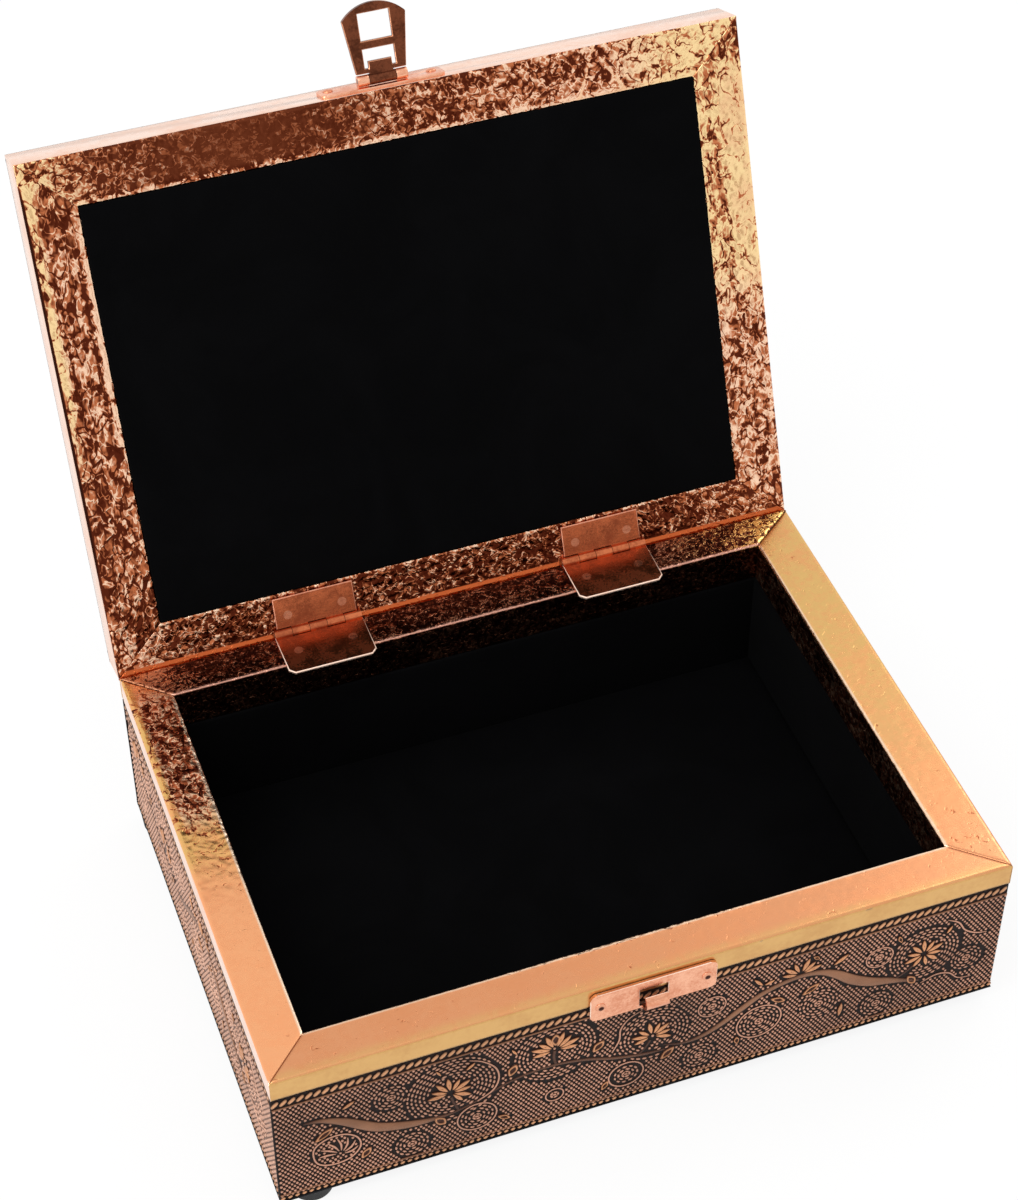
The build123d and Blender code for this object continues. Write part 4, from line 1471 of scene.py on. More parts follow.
    def build(self) -> list[bpy.types.Object]:
        """Makes the sheet.

        Returns:
            The plate with its grains, and the raised ornament.
        """
        ground = joined(f"{self.name}_grained_ground", [self._plate(), self._grains()])
        work = [*self._sweep(self.ornament.strokes, "embossed_vine", 0.32),
                *self._sweep(self.ornament.tendrils, f"embossed_beads{self.kind}", 1.1),
                *self._leaves(), *self._rope()]
        raised = joined(f"{self.name}_raised_ornament", work)
        pieces = []
        for mesh in (ground, raised):
            points = vertices(mesh)
            points[:, 0] = np.clip(points[:, 0], -self.width / 2 * MM, self.width / 2 * MM)
            points[:, 1] = np.clip(points[:, 1], 0.0, self.height * MM)
            points[:, 2] = np.minimum(points[:, 2], -0.02 * MM)
            mesh.vertices.foreach_set("co", points.ravel())
            self._relief(mesh)
            mesh.transform(self.placing)
            mesh.update()
            piece = new_object(mesh.name, mesh)
            pieces.append(fit_out(piece, self.body, Slot.EMBOSSED, self.node))
        return pieces


def fit_out(piece: bpy.types.Object, body: Body, slot: Slot, *nodes: str) -> bpy.types.Object:
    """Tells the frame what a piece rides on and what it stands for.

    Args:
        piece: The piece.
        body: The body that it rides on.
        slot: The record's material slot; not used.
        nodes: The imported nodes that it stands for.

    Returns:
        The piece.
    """
    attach(piece, body.value)
    if nodes:
        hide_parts(*nodes)
    LOG.info("%s: %d triangles", piece.name, sum(len(p.vertices) - 2 for p in piece.data.polygons))
    return piece


# Foil


Field = Callable[[np.ndarray, np.ndarray], np.ndarray]
GROOVE_WIDTH, CREASE_WIDTH, CALM_END = 0.45, 0.7, 1.2
FULL_GROOVE = 0.16
LAP_HEIGHT, LAP_WIDTH = 0.1, 0.12
# painted light level of the foil turned down inside the opening: painted shade in the recess
INSIDE_PAINTED_LIGHT = 0.35
FOIL_WALL, BAND_DEPTH = 0.1, 0.4


def near(value: np.ndarray, centre: float, spread: float) -> np.ndarray:
    """Gives 1 at a value and less away from it."""
    return np.exp(-((value - centre) / spread) ** 2)


def rise(value: np.ndarray, start: float, end: float) -> np.ndarray:
    """Gives 0 up to a start, 1 from an end on and a straight line between."""
    return np.clip((value - start) / (end - start), 0.0, 1.0)


@dataclass(frozen=True)
class StripLook:
    """How the foil of one side looks, as fields of the share inward and the share along it.

    The painted light level runs from 0 for foil in painted shade with few painted highlights to 1 for foil
    painted all bright. The grain stretches the facets along the side and across it, and a lap is where
    another layer ends. Where it is calm the foil takes a smooth painted dark reflection.
    """

    tone: Field
    crumple: Field
    gold: Field = lambda d, t: 0.0 * d
    grain: Point2 = (1.0, 1.0)
    lap: float | None = None
    calm: Field = lambda d, t: 0.0 * d


@dataclass
class FoilSide:
    """One mitred side of a foil frame, laid along a folded profile and crumpled.

    The profile's points are (inward, up) in millimetres from the outer face.
    """

    name: str
    node: str
    body: Body
    placing: Matrix
    outer: tuple[Point2, Point2]
    inner: tuple[Point2, Point2]
    profile: tuple[Point2, ...]
    finish: str
    look: StripLook
    seed: int
    fold_scale: float
    depth: float = 0.15
    step: float = 0.55
    facing_down: bool = False
    groove: float = FULL_GROOVE
    end_crumple: float = 0.15
    hems: tuple[tuple[int, int], ...] = ()
    band_finish: str | None = None
    band_end: float = 0.0
    inside_from: float = 2.0

    def _rows(self) -> np.ndarray:
        """Points of the profile, a step apart, with a third value of 1 on its hems, which take the finish's
        fold colour: on the rims a painted highlight along the rounded inner fold.

        Returns:
            The points.
        """
        rows = []
        for index, ((d0, h0), (d1, h1)) in enumerate(zip(self.profile, self.profile[1:])):
            hem = float(any(low <= index < high for low, high in self.hems))
            pieces = max(1, round(math.hypot(d1 - d0, h1 - h0) / self.step))
            rows += [(d0 + (d1 - d0) * i / pieces, h0 + (h1 - h0) * i / pieces, hem)
                     for i in range(pieces)]
        return np.array([*rows, (*self.profile[-1], 0.0)])

    def build(self) -> bpy.types.Object:
        """Makes the side.

        Returns:
            The piece.
        """
        rows, look = self._rows(), self.look
        corner, far = map(np.array, self.outer)
        inner_corner, inner_far = map(np.array, self.inner)
        length = math.hypot(*(far - corner))
        direction = (far - corner) / length
        inward = np.array([-direction[1], direction[0]])
        rim = float((inner_corner - corner) @ inward)
        share = np.clip(rows[:, :1] / rim, 0.0, 1.0)
        start = share * ((inner_corner - corner) @ direction)
        end = length + share * ((inner_far - far) @ direction)
        spot = start + (end - start) * np.linspace(0.0, 1.0, int(length / self.step))
        to_end = np.minimum(spot - start, end - spot)
        sense = -1.0 if self.facing_down else 1.0
        up = rows[:, 1:2] - sense * self.groove * np.exp(-to_end / GROOVE_WIDTH)
        if look.lap is not None:
            up += sense * LAP_HEIGHT / (1 + np.exp((rows[:, :1] - look.lap) / LAP_WIDTH))
        plan = corner + rows[:, None, :1] * inward + spot[..., None] * direction
        points = np.concatenate([plan, up[..., None]], axis=-1).reshape(-1, 3)
        faces = quads(np.arange(spot.size).reshape(spot.shape))
        mesh = mesh_of(self.name, points * MM, faces[:, ::-1] if self.facing_down else faces)
        none = np.zeros_like(spot)
        d, t = rows[:, :1] / rim + none, spot / length
        inside = (d > self.inside_from) & (rows[:, 1:2] < rows[:, 1].max() - 0.5)
        # crease marks the mitre grooves, which the finish darkens with painted shade
        fields = {
            "crumple": look.crumple(d, t) * np.clip(to_end / CALM_END, self.end_crumple, 1.0),
            "crease": np.clip(1 - to_end / CREASE_WIDTH, 0, 1) * self.groove / FULL_GROOVE,
            "tone": np.where(inside, INSIDE_PAINTED_LIGHT, look.tone(d, t)),
            "gold": np.where(inside, 0.0, np.clip(look.gold(d, t), 0, 1)),
            "calm": np.clip(look.calm(d, t), 0, 1),
            "hem": rows[:, 2:] + none,
        }
        for name, values in fields.items():
            store(mesh, name, values.ravel())
        reach = np.cumsum(np.hypot(*np.diff(rows[:, :2], axis=0, prepend=rows[:1, :2]).T))[:, None]
        strip = (spot * look.grain[0], reach * look.grain[1] + none, 17.0 * self.seed + none)
        store(mesh, "strip", np.stack(strip, axis=-1).reshape(-1, 3))
        piece = new_object(self.name, run_tree(mesh, TREES.crumple, {
            "Depth": self.depth * MM, "Fold Scale": self.fold_scale, "Seed": self.seed,
            "Material": material(self.finish)}))
        wall = piece.modifiers.new("wall", "SOLIDIFY")
        wall.thickness, wall.offset = FOIL_WALL * MM, -1.0
        closed = applied(piece)
        if self.band_finish:
            closed.materials.append(material(self.band_finish))
            middles = np.empty(len(closed.polygons) * 3, dtype=np.float32)
            closed.polygons.foreach_get("center", middles)
            middles = middles.reshape(-1, 3)
            outside = (middles[:, :2] / MM - corner) @ inward < BAND_DEPTH
            closed.polygons.foreach_set(
                "material_index", (outside & (middles[:, 2] < self.band_end * MM)).astype(np.int32))
        closed.transform(self.placing)
        closed.update()
        return fit_out(piece, self.body, Slot.FOIL, self.node)


# Soft pieces


CROWN_SHARE, WAVE_SHARE = 0.82, 0.12


@dataclass
class SoftSlab:
    """A cloth-covered pad: flat behind, crowned in front, with edges that draw in."""

    name: str
    node: str
    body: Body
    placing: Matrix
    width: float
    height: float
    depth: float
    edge: float
    crown: float
    finish: str
    slot: Slot
    step: float = 2.0
    seed: int = 5

    def build(self) -> bpy.types.Object:
        """Makes the pad in its own plane, from (0, 0) to (width, height) and up to its depth.

        Returns:
            The piece.
        """
        def spread(size: float) -> np.ndarray:
            """Places along one side, closer together near its ends."""
            count = max(2, round((size - 2 * self.edge) / self.step))
            rim = self.edge * (1 - np.cos(np.linspace(0, math.pi / 2, 5)[:-1]))
            return np.concatenate([rim, np.linspace(self.edge, size - self.edge, count), size - rim[::-1]])

        gx, gy = np.meshgrid(spread(self.width), spread(self.height), indexing="ij")
        to_edge = np.minimum(np.minimum(gx, self.width - gx), np.minimum(gy, self.height - gy))
        swell = np.sqrt(np.clip(1 - (1 - np.clip(to_edge / self.edge, 0, 1)) ** 2, 0, 1))
        middle = np.sin(np.pi * gx / self.width) * np.sin(np.pi * gy / self.height)
        rng = np.random.default_rng(self.seed)
        waves = sum(rng.uniform(0.3, 1.0) * np.sin(gx * rng.uniform(0.02, 0.12) + rng.uniform(0, 6))
                    * np.sin(gy * rng.uniform(0.02, 0.12) + rng.uniform(0, 6)) for _ in range(5)) / 5
        crowned = self.crown * (CROWN_SHARE * middle ** 0.6 + WAVE_SHARE * waves * middle)
        top = swell * (self.depth - self.crown + crowned)
        points = [np.stack([gx, gy, up], axis=-1).reshape(-1, 3) for up in (top, np.zeros_like(top))]
        index = np.arange(gx.size).reshape(gx.shape)
        under = np.where(to_edge <= 1e-9, index, index + gx.size)
        mesh = mesh_of(self.name, np.vstack(points) * MM, np.vstack([quads(index)[:, ::-1], quads(under)]))
        outward(mesh)
        mesh.materials.append(material(self.finish))
        mesh.transform(self.placing)
        mesh.update()
        return fit_out(new_object(self.name, mesh), self.body, self.slot, self.node)


# Metal fittings


def lid_hinge() -> dict:
    """Finds the joint that the lid turns on."""
    return next(joint for joint in frame["joints"] if joint["child"] == "lid")


LONG_EDGE, SQUARE_EDGE = 1.2, math.radians(60)
ROUND_STEPS, SMOOTH_UP_TO = 2, math.radians(38)


def softened(node: str, name: str, body: Body, slot: Slot, finish: str, width: float,
             rubbed: str | None = None, clear: float = 0.0) -> None:
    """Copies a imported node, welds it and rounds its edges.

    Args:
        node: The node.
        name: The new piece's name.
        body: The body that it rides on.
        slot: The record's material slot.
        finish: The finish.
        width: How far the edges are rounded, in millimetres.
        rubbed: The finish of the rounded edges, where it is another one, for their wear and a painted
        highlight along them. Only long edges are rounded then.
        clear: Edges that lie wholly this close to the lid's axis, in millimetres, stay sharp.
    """
    build = bmesh.new()
    build.from_mesh(frame["nodes"][node].data)
    bmesh.ops.remove_doubles(build, verts=build.verts, dist=0.002 * MM)
    if rubbed:
        axis = Vector(lid_hinge()["pos_m"])
        square = [edge for edge in build.edges
                  if edge.is_manifold and edge.calc_length() > LONG_EDGE * MM
                  and edge.calc_face_angle_signed() > SQUARE_EDGE
                  and max((v.co - axis).yz.length for v in edge.verts) > clear * MM]
        # the rounded edges take the paler finish: wear and a painted highlight
        bmesh.ops.bevel(build, geom=square, offset=width * MM, offset_type="OFFSET", segments=ROUND_STEPS,
                        profile=0.5, affect="EDGES", clamp_overlap=False, material=1)
        for edge in build.edges:
            kinds = {face.material_index for face in edge.link_faces}
            edge.smooth = len(kinds) == 1 and edge.calc_face_angle(0.0) < SMOOTH_UP_TO
        for face in build.faces:
            face.smooth = True
    else:
        bmesh.ops.dissolve_limit(build, angle_limit=math.radians(1), verts=build.verts, edges=build.edges)
    mesh = bpy.data.meshes.new(name)
    build.to_mesh(mesh)
    build.free()
    for own in filter(None, (finish, rubbed)):
        mesh.materials.append(material(own))
    piece = new_object(name, mesh)
    if not rubbed:
        bevel = piece.modifiers.new("round", "BEVEL")
        bevel.width, bevel.segments, bevel.limit_method = width * MM, ROUND_STEPS, "ANGLE"
        bevel.angle_limit, bevel.use_clamp_overlap = math.radians(32), True
        rounded = applied(piece)
        rounded.shade_smooth()
        rounded.set_sharp_from_angle(angle=SMOOTH_UP_TO)
    fit_out(piece, body, slot, node)


def dress(finish: str, *nodes: str) -> None:
    """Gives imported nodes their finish."""
    for materials in (frame["nodes"][node].data.materials for node in nodes):
        materials.clear()
        materials.append(material(finish))


# The box


def panel_matrix(origin: Sequence[float], across: Sequence[float], up: Sequence[float]) -> Matrix:
    """Places a panel: its x along across, its y along up and its z out of the face."""
    turn = Matrix((across, up, Vector(across).cross(Vector(up)))).transposed().to_4x4()
    return Matrix.Translation(Vector(origin)) @ turn


def arc(centre: Point2, radius: float, start: float, end: float, pieces: int = 4) -> list[Point2]:
    """Points of an arc round a centre, from a start to an end in degrees."""
    turns = (math.radians(start + (end - start) * i / pieces) for i in range(pieces + 1))
    return [(centre[0] + radius * math.cos(t), centre[1] + radius * math.sin(t)) for t in turns]


@dataclass(frozen=True)
class BoxSizes:
    """Sizes of the box in millimetres. Its opening is given as its left, right, front and back edge."""

    left: float
    right: float
    front: float
    back: float
    bottom: float
    top: float
    opening: tuple[float, float, float, float]
    sheet_top: float
    lining_top: float
    floor_top: float

    @classmethod
    def read(cls) -> "BoxSizes":
        """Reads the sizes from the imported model.

        Returns:
            The sizes.
        """
        def corners(node: str) -> np.ndarray:
            """Measures a node: its lowest and its highest corner."""
            return np.array(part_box(node)) / MM

        low, high = corners("underside_felt")
        left, right, front, back = (corners(f"base_{side}_rim_foil")
                                    for side in ("left", "right", "front", "back"))
        return cls(low[0], high[0], low[1], high[1], low[2], front[1, 2],
                   (left[1, 0], right[0, 0], front[1, 1], back[0, 1]),
                   corners("base_front_embossed_sheet")[1, 2], corners("base_front_lining")[1, 2],
                   corners("base_floor_pad")[0, 2])


def mitred(shell: tuple[float, float, float, float],
           opening: tuple[float, float, float, float]) -> dict[str, tuple]:
    """Corner points of a mitred frame's four sides.

    Args:
        shell: Left, right, front and back edge of the frame.
        opening: The same of its opening.

    Returns:
        The outer and the inner pair of corners and the width of each side, by name.
    """
    def corners(left: float, right: float, front: float, back: float) -> dict[str, tuple]:
        """The pair of corners at each side, anticlockwise."""
        return {"front": ((left, front), (right, front)), "right": ((right, front), (right, back)),
                "back": ((right, back), (left, back)), "left": ((left, back), (left, front))}

    outer, inner = corners(*shell), corners(*opening)
    widths = dict(zip(("left", "right", "front", "back"), (abs(a - b) for a, b in zip(shell, opening))))
    return {side: (outer[side], inner[side], widths[side]) for side in outer}


@dataclass
class Base:
    """The base of the box: embossed walls, foil rim, velvet inside, felt and feet below."""

    sizes: BoxSizes
    fold_radius: float = 0.7
    foil_inset: float = 0.16
    rope: tuple[tuple[float, float, float], ...] = ((42.2, 1.4, 2.2), (1.6, 0.65, 1.9))
    ornament_room: Point2 = (4.5, 39.5)

    def walls(self) -> None:
        """Makes the four embossed sheets."""
        z = self.sizes
        foot = z.bottom * MM
        high = z.sheet_top - z.bottom
        sides = {
            "front": ((0, z.front * MM, foot), (1, 0, 0), 0.0, False),
            "back": ((0, z.back * MM, foot), (-1, 0, 0), 0.0, True),
            "left": ((z.left * MM, 0, foot), (0, -1, 0), -34.0, False),
            "right": ((z.right * MM, 0, foot), (0, 1, 0), 34.0, True),
        }
        for index, (side, (origin, across, shift, mirrored)) in enumerate(sides.items()):
            wide = z.right - z.left if side in ("front", "back") else z.back - z.front - 2.0
            ornament = FRONT_ORNAMENT.moved(shift, 0.0, mirrored).within(wide / 2, *self.ornament_room)
            # the side walls take the paler copies of the bead and ground finishes: painted light
            EmbossedPanel(f"base_{side}", f"base_{side}_embossed_sheet", Body.BASE,
                          panel_matrix(origin, across, (0, 0, 1)), wide, high, ornament, self.rope,
                          seed=11 + index, kind="_side" if side in ("left", "right") else "").build()

    def rim(self) -> None:
        """Makes the foil caps of the rim."""
        z = self.sizes
        r, inset = self.fold_radius, self.foil_inset
        # Each look's first field is the side's painted light level: bright on the front and the right, low
        # with painted shade over most of the back and the back part of the left.
        looks = {
            "front": StripLook(
                lambda d, t: 1.8 - 1.45 * rise(d, 0.88, 0.93) * near(t, 0.47, 0.16),
                lambda d, t: 0.1 + 1.3 * rise(d, 0.86, 0.94) * (0.15 + near(t, 0.47, 0.16)),
                lambda d, t: 0.5 * near(d, 0.1, 0.12)),
            "right": StripLook(
                lambda d, t: 1.8 - 0.3 * near(t, 0.08, 0.05), lambda d, t: 0.14 + 0.3 * rise(d, 0.9, 0.98),
                lambda d, t: rise(t, 0.1, 0.55)),
            "back": StripLook(
                lambda d, t: (0.2 + 0.5 * (1 - rise(t, 0.04, 0.14)) + 0.2 * near(t, 0.19, 0.07)
                              + 0.7 * rise(t, 0.9, 0.97)),
                lambda d, t: 0.9 - 0.5 * rise(t, 0.9, 0.95), lambda d, t: 1 - rise(t, 0.06, 0.2)),
            "left": StripLook(
                lambda d, t: (0.42 + 1.4 * rise(t, 0.32, 0.6) + 0.5 * (1 - rise(d, 0.14, 0.26))
                              + 0.6 * (1 - rise(t, 0.05, 0.09)) + 0.3 * rise(d, 0.9, 0.96)),
                lambda d, t: np.where(d < 0.06, 0.16, 0.12 + 1.3 * rise(0.6 - t, 0.0, 0.16)
                                      * (0.3 + 0.7 * rise(t, 0.04, 0.1))),
                lambda d, t: near(t, 0.46, 0.07) + (1 - rise(d, 0.14, 0.22)) * (1 - rise(t, 0.4, 0.5))),
        }
        shell = (z.left, z.right, z.front, z.back)
        for index, (side, (outer, inner, rim)) in enumerate(mitred(shell, z.opening).items()):
            outside, margin = (0.2, 0.06) if side == "back" else (r, inset)
            top, inside = z.top - margin, 0.45
            profile = (
                (margin, z.sheet_top + 0.05), (margin, top - outside),
                *arc((margin + outside, top - outside), outside, 180, 90),
                *arc((rim - inset - inside, top - inside), inside, 90, 0),
                (rim - inset, z.lining_top + 0.05),
            )
            # the left rim and its outer band take paler finishes than the other sides: painted light from the
            # left
            finish = {"back": "rim_foil_back", "left": "rim_foil_left"}.get(side, "rim_foil")
            FoilSide(f"base_{side}_foil_cap", f"base_{side}_rim_foil", Body.BASE, Matrix.Identity(4),
                     outer, inner, profile, finish, looks[side], index + 1, 380.0,
                     hems=((7, 10),), band_end=z.top - 0.5, inside_from=0.98,
                     band_finish="edge_foil_pink" if side == "left" else "band_foil_khaki").build()

    def linings(self) -> None:
        """Makes the velvet cards on the walls, the floor pad and the felt below."""
        z = self.sizes
        a, b, c, d = z.opening
        low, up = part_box("base_front_lining")
        thick, foil = (up[1] - low[1]) / MM, low[0] / MM - a
        a, b, c, d = a + foil, b - foil, c + foil, d - foil
        high = z.lining_top - z.floor_top
        cards = {
            "front": ((b, c), (-1, 0, 0), b - a), "back": ((a, d), (1, 0, 0), b - a),
            "left": ((a, c), (0, 1, 0), d - c), "right": ((b, d), (0, -1, 0), d - c),
        }
        for side, ((x, y), across, wide) in cards.items():
            placing = panel_matrix((x * MM, y * MM, z.floor_top * MM), across, (0, 0, 1))
            piece = SoftSlab(f"base_{side}_velvet_card", f"base_{side}_lining", Body.BASE, placing,
                             wide, high, thick, 0.7, 0.15, "velvet_black", Slot.VELVET).build()
        low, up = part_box("base_floor_pad")
        placing = Matrix.Translation(low)
        pad = SoftSlab("base_floor_velvet_pad", "base_floor_pad", Body.BASE, placing,
                       *((b - a) / MM for a, b in zip(low, up)), 0.5, 0.5,
                       "velvet_black", Slot.VELVET).build()
        low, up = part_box("underside_felt")
        wide, long = (up[0] - low[0]) / MM, (up[1] - low[1]) / MM
        placing = panel_matrix((low[0], up[1], up[2]), (1, 0, 0), (0, -1, 0))
        felt = SoftSlab("underside_felt_sheet", "underside_felt", Body.BASE, placing,
                        wide, long, (up[2] - low[2]) / MM, 0.4, 0.05, "felt_black", Slot.FELT, 4.0).build()

    def fittings(self) -> None:
        """Dresses the boards, feet and nails and makes the hinge leaves and the catch."""
        dress("board_raw", *(f"base_{side}_board" for side in ("front", "back", "left", "right", "bottom")))
        dress("rubber_black", "feet")
        dress("nail_copper", "hinge_base_nails")
        dress("nail_pitted", "catch_nails")
        dress("pin_steel", "left_hinge_pin", "right_hinge_pin")
        for side in ("left", "right"):
            softened(f"{side}_hinge_base_leaf", f"{side}_hinge_lower_leaf", Body.BASE, Slot.PLATE,
                     "hinge_copper", 0.3, "rubbed_edge", clear=7.0)
        softened("catch_plate", "catch_with_sprung_tongue", Body.BASE, Slot.PLATE, "plate_copper", 0.2,
                 "rubbed_edge")

    def build(self) -> None:
        """Makes the whole base."""
        self.walls()
        self.rim()
        self.linings()
        self.fittings()


NARROW_FOLD = 0.5


@dataclass
class Lid:
    """The lid: embossed top, foil edges and frame, velvet inside, hinge leaves and hasp plate.

    It is laid out closed and turned open by the hinge's full range.
    """

    opened: Matrix = field(init=False)
    shell: tuple[np.ndarray, np.ndarray] = field(init=False)
    panel: tuple[np.ndarray, np.ndarray] = field(init=False)
    foil_inset: float = 0.18
    fold: float = 2.0

    def __post_init__(self) -> None:
        """Works out the turn that opens the lid and the closed lid's sizes."""
        hinge = lid_hinge()
        centre = Vector(hinge["pos_m"])
        turn = Matrix.Rotation(-math.radians(hinge["range_deg"][1]), 4, "X")
        self.opened = Matrix.Translation(centre) @ turn @ Matrix.Translation(-centre)
        self.shell = self._closed_box("lid_back_frame_foil", "lid_front_frame_foil", "lid_top_embossed_sheet")
        self.panel = self._closed_box("lid_velvet_panel")

    def _closed_box(self, *nodes: str) -> tuple[np.ndarray, np.ndarray]:
        """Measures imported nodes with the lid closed.

        Args:
            nodes: The nodes.

        Returns:
            Their lowest and highest corner in millimetres.
        """
        back = np.array(self.opened.inverted())
        points = np.vstack([vertices(frame["nodes"][node].data) for node in nodes])
        turned = (points @ back[:3, :3].T + back[:3, 3]) / MM
        return turned.min(axis=0), turned.max(axis=0)

    def top(self) -> None:
        """Makes the embossed sheet of the top."""
        low, high = self.shell
        deep, wide = high[1] - low[1], high[0] - low[0]
        ornament = Ornament()
        for up, mirrored in ((8.0, False), (53.0, True), (98.0, False)):
            ornament = ornament.joined(FRONT_ORNAMENT.moved(0, up, mirrored))
        ornament = ornament.within(wide / 2 - 6, 7, deep - 7)
        placing = self.opened @ panel_matrix((0, low[1] * MM, high[2] * MM), (1, 0, 0), (0, 1, 0))
        EmbossedPanel("lid_top", "lid_top_embossed_sheet", Body.LID, placing, wide, deep,
                      ornament, ((2.4, 1.5, 2.3), (deep - 2.4, 1.5, 2.3)), 2.0, 1.46, seed=29,
                      ropes_upright=True).build()

    def frame_foil(self) -> None:
        """Makes the crumpled foil frame round the velvet, smooth along its folds."""
        low, high = self.shell
        opening = (self.panel[0][0], self.panel[1][0], self.panel[0][1], self.panel[1][1])
        sides = mitred((low[0], high[0], low[1], high[1]), opening)
        face, fold = low[2] + self.foil_inset, self.fold

        def crumpled(side: str) -> Field:
            """Crumples all but the fold along the outer edge."""
            edge = (fold if side == "back" else NARROW_FOLD) / sides[side][2]
            return lambda d, t: np.clip((d - edge * 0.8) / (edge * 0.4), 0.06, 1.0)

        # Each look's first field is the strip's painted light level. The front strip is low at its left and
        # middle, with a smooth painted dark reflection where calm, and brighter to the right with thin
        # painted fold lines. The rails are brighter; the left rail has painted dark crease lines and a
        # painted gap shadow along its outer edge.
        looks = {
            "front": StripLook(
                lambda d, t: (0.06 + 0.5 * near(t, 0, 0.07) + 0.08 * near(t, 0.15, 0.08)
                              - 0.1 * near(t, 0.33, 0.1) * (1 - rise(d, 0.84, 0.9))
                              + 0.17 * rise(t, 0.42, 0.5) + 0.2 * rise(t, 0.62, 0.78)
                              + 0.35 * rise(t, 0.8, 0.9) + 0.5 * rise(d, 0.88, 0.94)
                              + 0.8 * near(t, 0.792 - 0.03 * d, 0.0022)
                              + 0.8 * near(t, 0.789 + 0.042 * d, 0.0022)
                              - 0.5 * near(t, 0.795 + 0.042 * d, 0.003)),
                lambda d, t: crumpled("front")(d, t) * (1 - 0.75 * near(t, 0.29, 0.16)),
                lambda d, t: rise(t, 0.8, 0.9) + near(t, 0, 0.08),
                calm=lambda d, t: near(t, 0.29, 0.16) * (1 - rise(d, 0.82, 0.9))),
            "right": StripLook(
                lambda d, t: (0.84 - 0.4 * rise(t, 0.5, 0.62) - 0.42 * near(d, 0.66, 0.2) * near(t, 0.36, 0.2)
                              + 0.5 * (1 - rise(d, 0.42, 0.62)) * rise(t, 0.07, 0.12)
                              * (1 - rise(t, 0.44, 0.54)) - 0.42 * near(t, 0.03, 0.06)),
                crumpled("right"), lambda d, t: 1 - rise(t, 0.45, 0.6), (0.75, 1.0)),
            "back": StripLook(
                lambda d, t: (0.1 + 0.4 * rise(t, 0.84, 0.95) + 0.2 * near(t, 0.04, 0.06)
                              + 0.3 * rise(d, 0.9, 0.97)),
                crumpled("back")),
            "left": StripLook(
                lambda d, t: (0.34 + 0.5 * (1 - rise(d, 0.14, 0.3)) * rise(t, 0.3, 0.6)
                              + 0.45 * rise(d, 0.86, 0.91) * rise(t, 0.35, 0.5)
                              - 0.8 * near(d, 0.8, 0.03) * near(t, 0.62, 0.2)
                              - 0.6 * near(d, 0.34, 0.03) * near(t, 0.62, 0.2)
                              - 3.0 * (d < 0.045) * rise(t, 0.15, 0.3) * rise(0.97 - t, 0, 0.05)),
                crumpled("left"),
                lambda d, t: (1 - rise(d, 0.16, 0.3)) * rise(t, 0.35, 0.55) + near(t, 1, 0.08),
                (0.6, 1.0), 4.6),
        }
        for index, (side, (outer, inner, wide)) in enumerate(sides.items()):
            start = [(0.05, 0.3), (0.1, 0.2), (0.2, 0.09), (0.4, 0.02), (NARROW_FOLD, 0.0)]
            if side == "back":
                start = [(-0.3, 0.8), (-0.38, 0.3), (-0.3, -0.12), (0.0, -0.32), (0.5, -0.38), (1.1, -0.3),
                         (fold - 0.3, -0.06), (fold, 0.0)]
            profile = tuple((inward, face + up) for inward, up in (*start, (wide - 0.5, 0.0), (wide, 0.2)))
            FoilSide(f"lid_{side}_crumpled_foil", f"lid_{side}_frame_foil", Body.LID, self.opened,
                     outer, inner, profile, "lid_foil", looks[side], index + 7, 430.0, depth=0.17,
                     facing_down=True, step=0.45, groove=0.0, end_crumple=0.7,
                     hems=((0, len(start) - 1),) if side == "back" else ()).build()

    def velvet(self) -> None:
        """Makes the velvet panel inside the foil frame."""
        low, high = self.panel
        placing = self.opened @ panel_matrix((low[0] * MM, high[1] * MM, high[2] * MM),
                                             (1, 0, 0), (0, -1, 0))
        panel = SoftSlab("lid_velvet_cushion", "lid_velvet_panel", Body.LID, placing, *(high - low),
                         0.6, 0.2, "velvet_black", Slot.VELVET, 3.0).build()

    def fittings(self) -> None:
        """Dresses the board, nails and pins and makes the edges, leaves and hasp plate."""
        dress("board_raw", "lid_board")
        dress("nail_copper", "hinge_lid_nails", "hasp_nails")
        dress("pin_steel", "hasp_pin")
        for side in ("front", "back", "left", "right"):
            softened(f"lid_{side}_edge_sheet", f"lid_{side}_edge_foil", Body.LID, Slot.PLAIN,
                     "edge_foil_pink", 0.3)
        for side in ("left", "right"):
            softened(f"{side}_hinge_lid_leaf", f"{side}_hinge_upper_leaf", Body.LID, Slot.PLATE,
                     "hinge_copper", 0.25, "worn_edge", clear=5.5)
        softened("hasp_mount_plate", "hasp_plate_with_knuckles", Body.LID, Slot.PLATE, "plate_copper", 0.2)

    def build(self) -> None:
        """Makes the whole lid."""
        self.top()
        self.frame_foil()
        self.velvet()
        self.fittings()


@dataclass
class Hasp:
    """The swinging hasp."""

    edge: float = 0.22

    def build(self) -> None:
        """Makes the hasp."""
        softened("hasp_loop", "hasp_swinging_loop", Body.HASP, Slot.BRONZE, "hasp_bronze", self.edge,
                 "hasp_edge")


# Studio


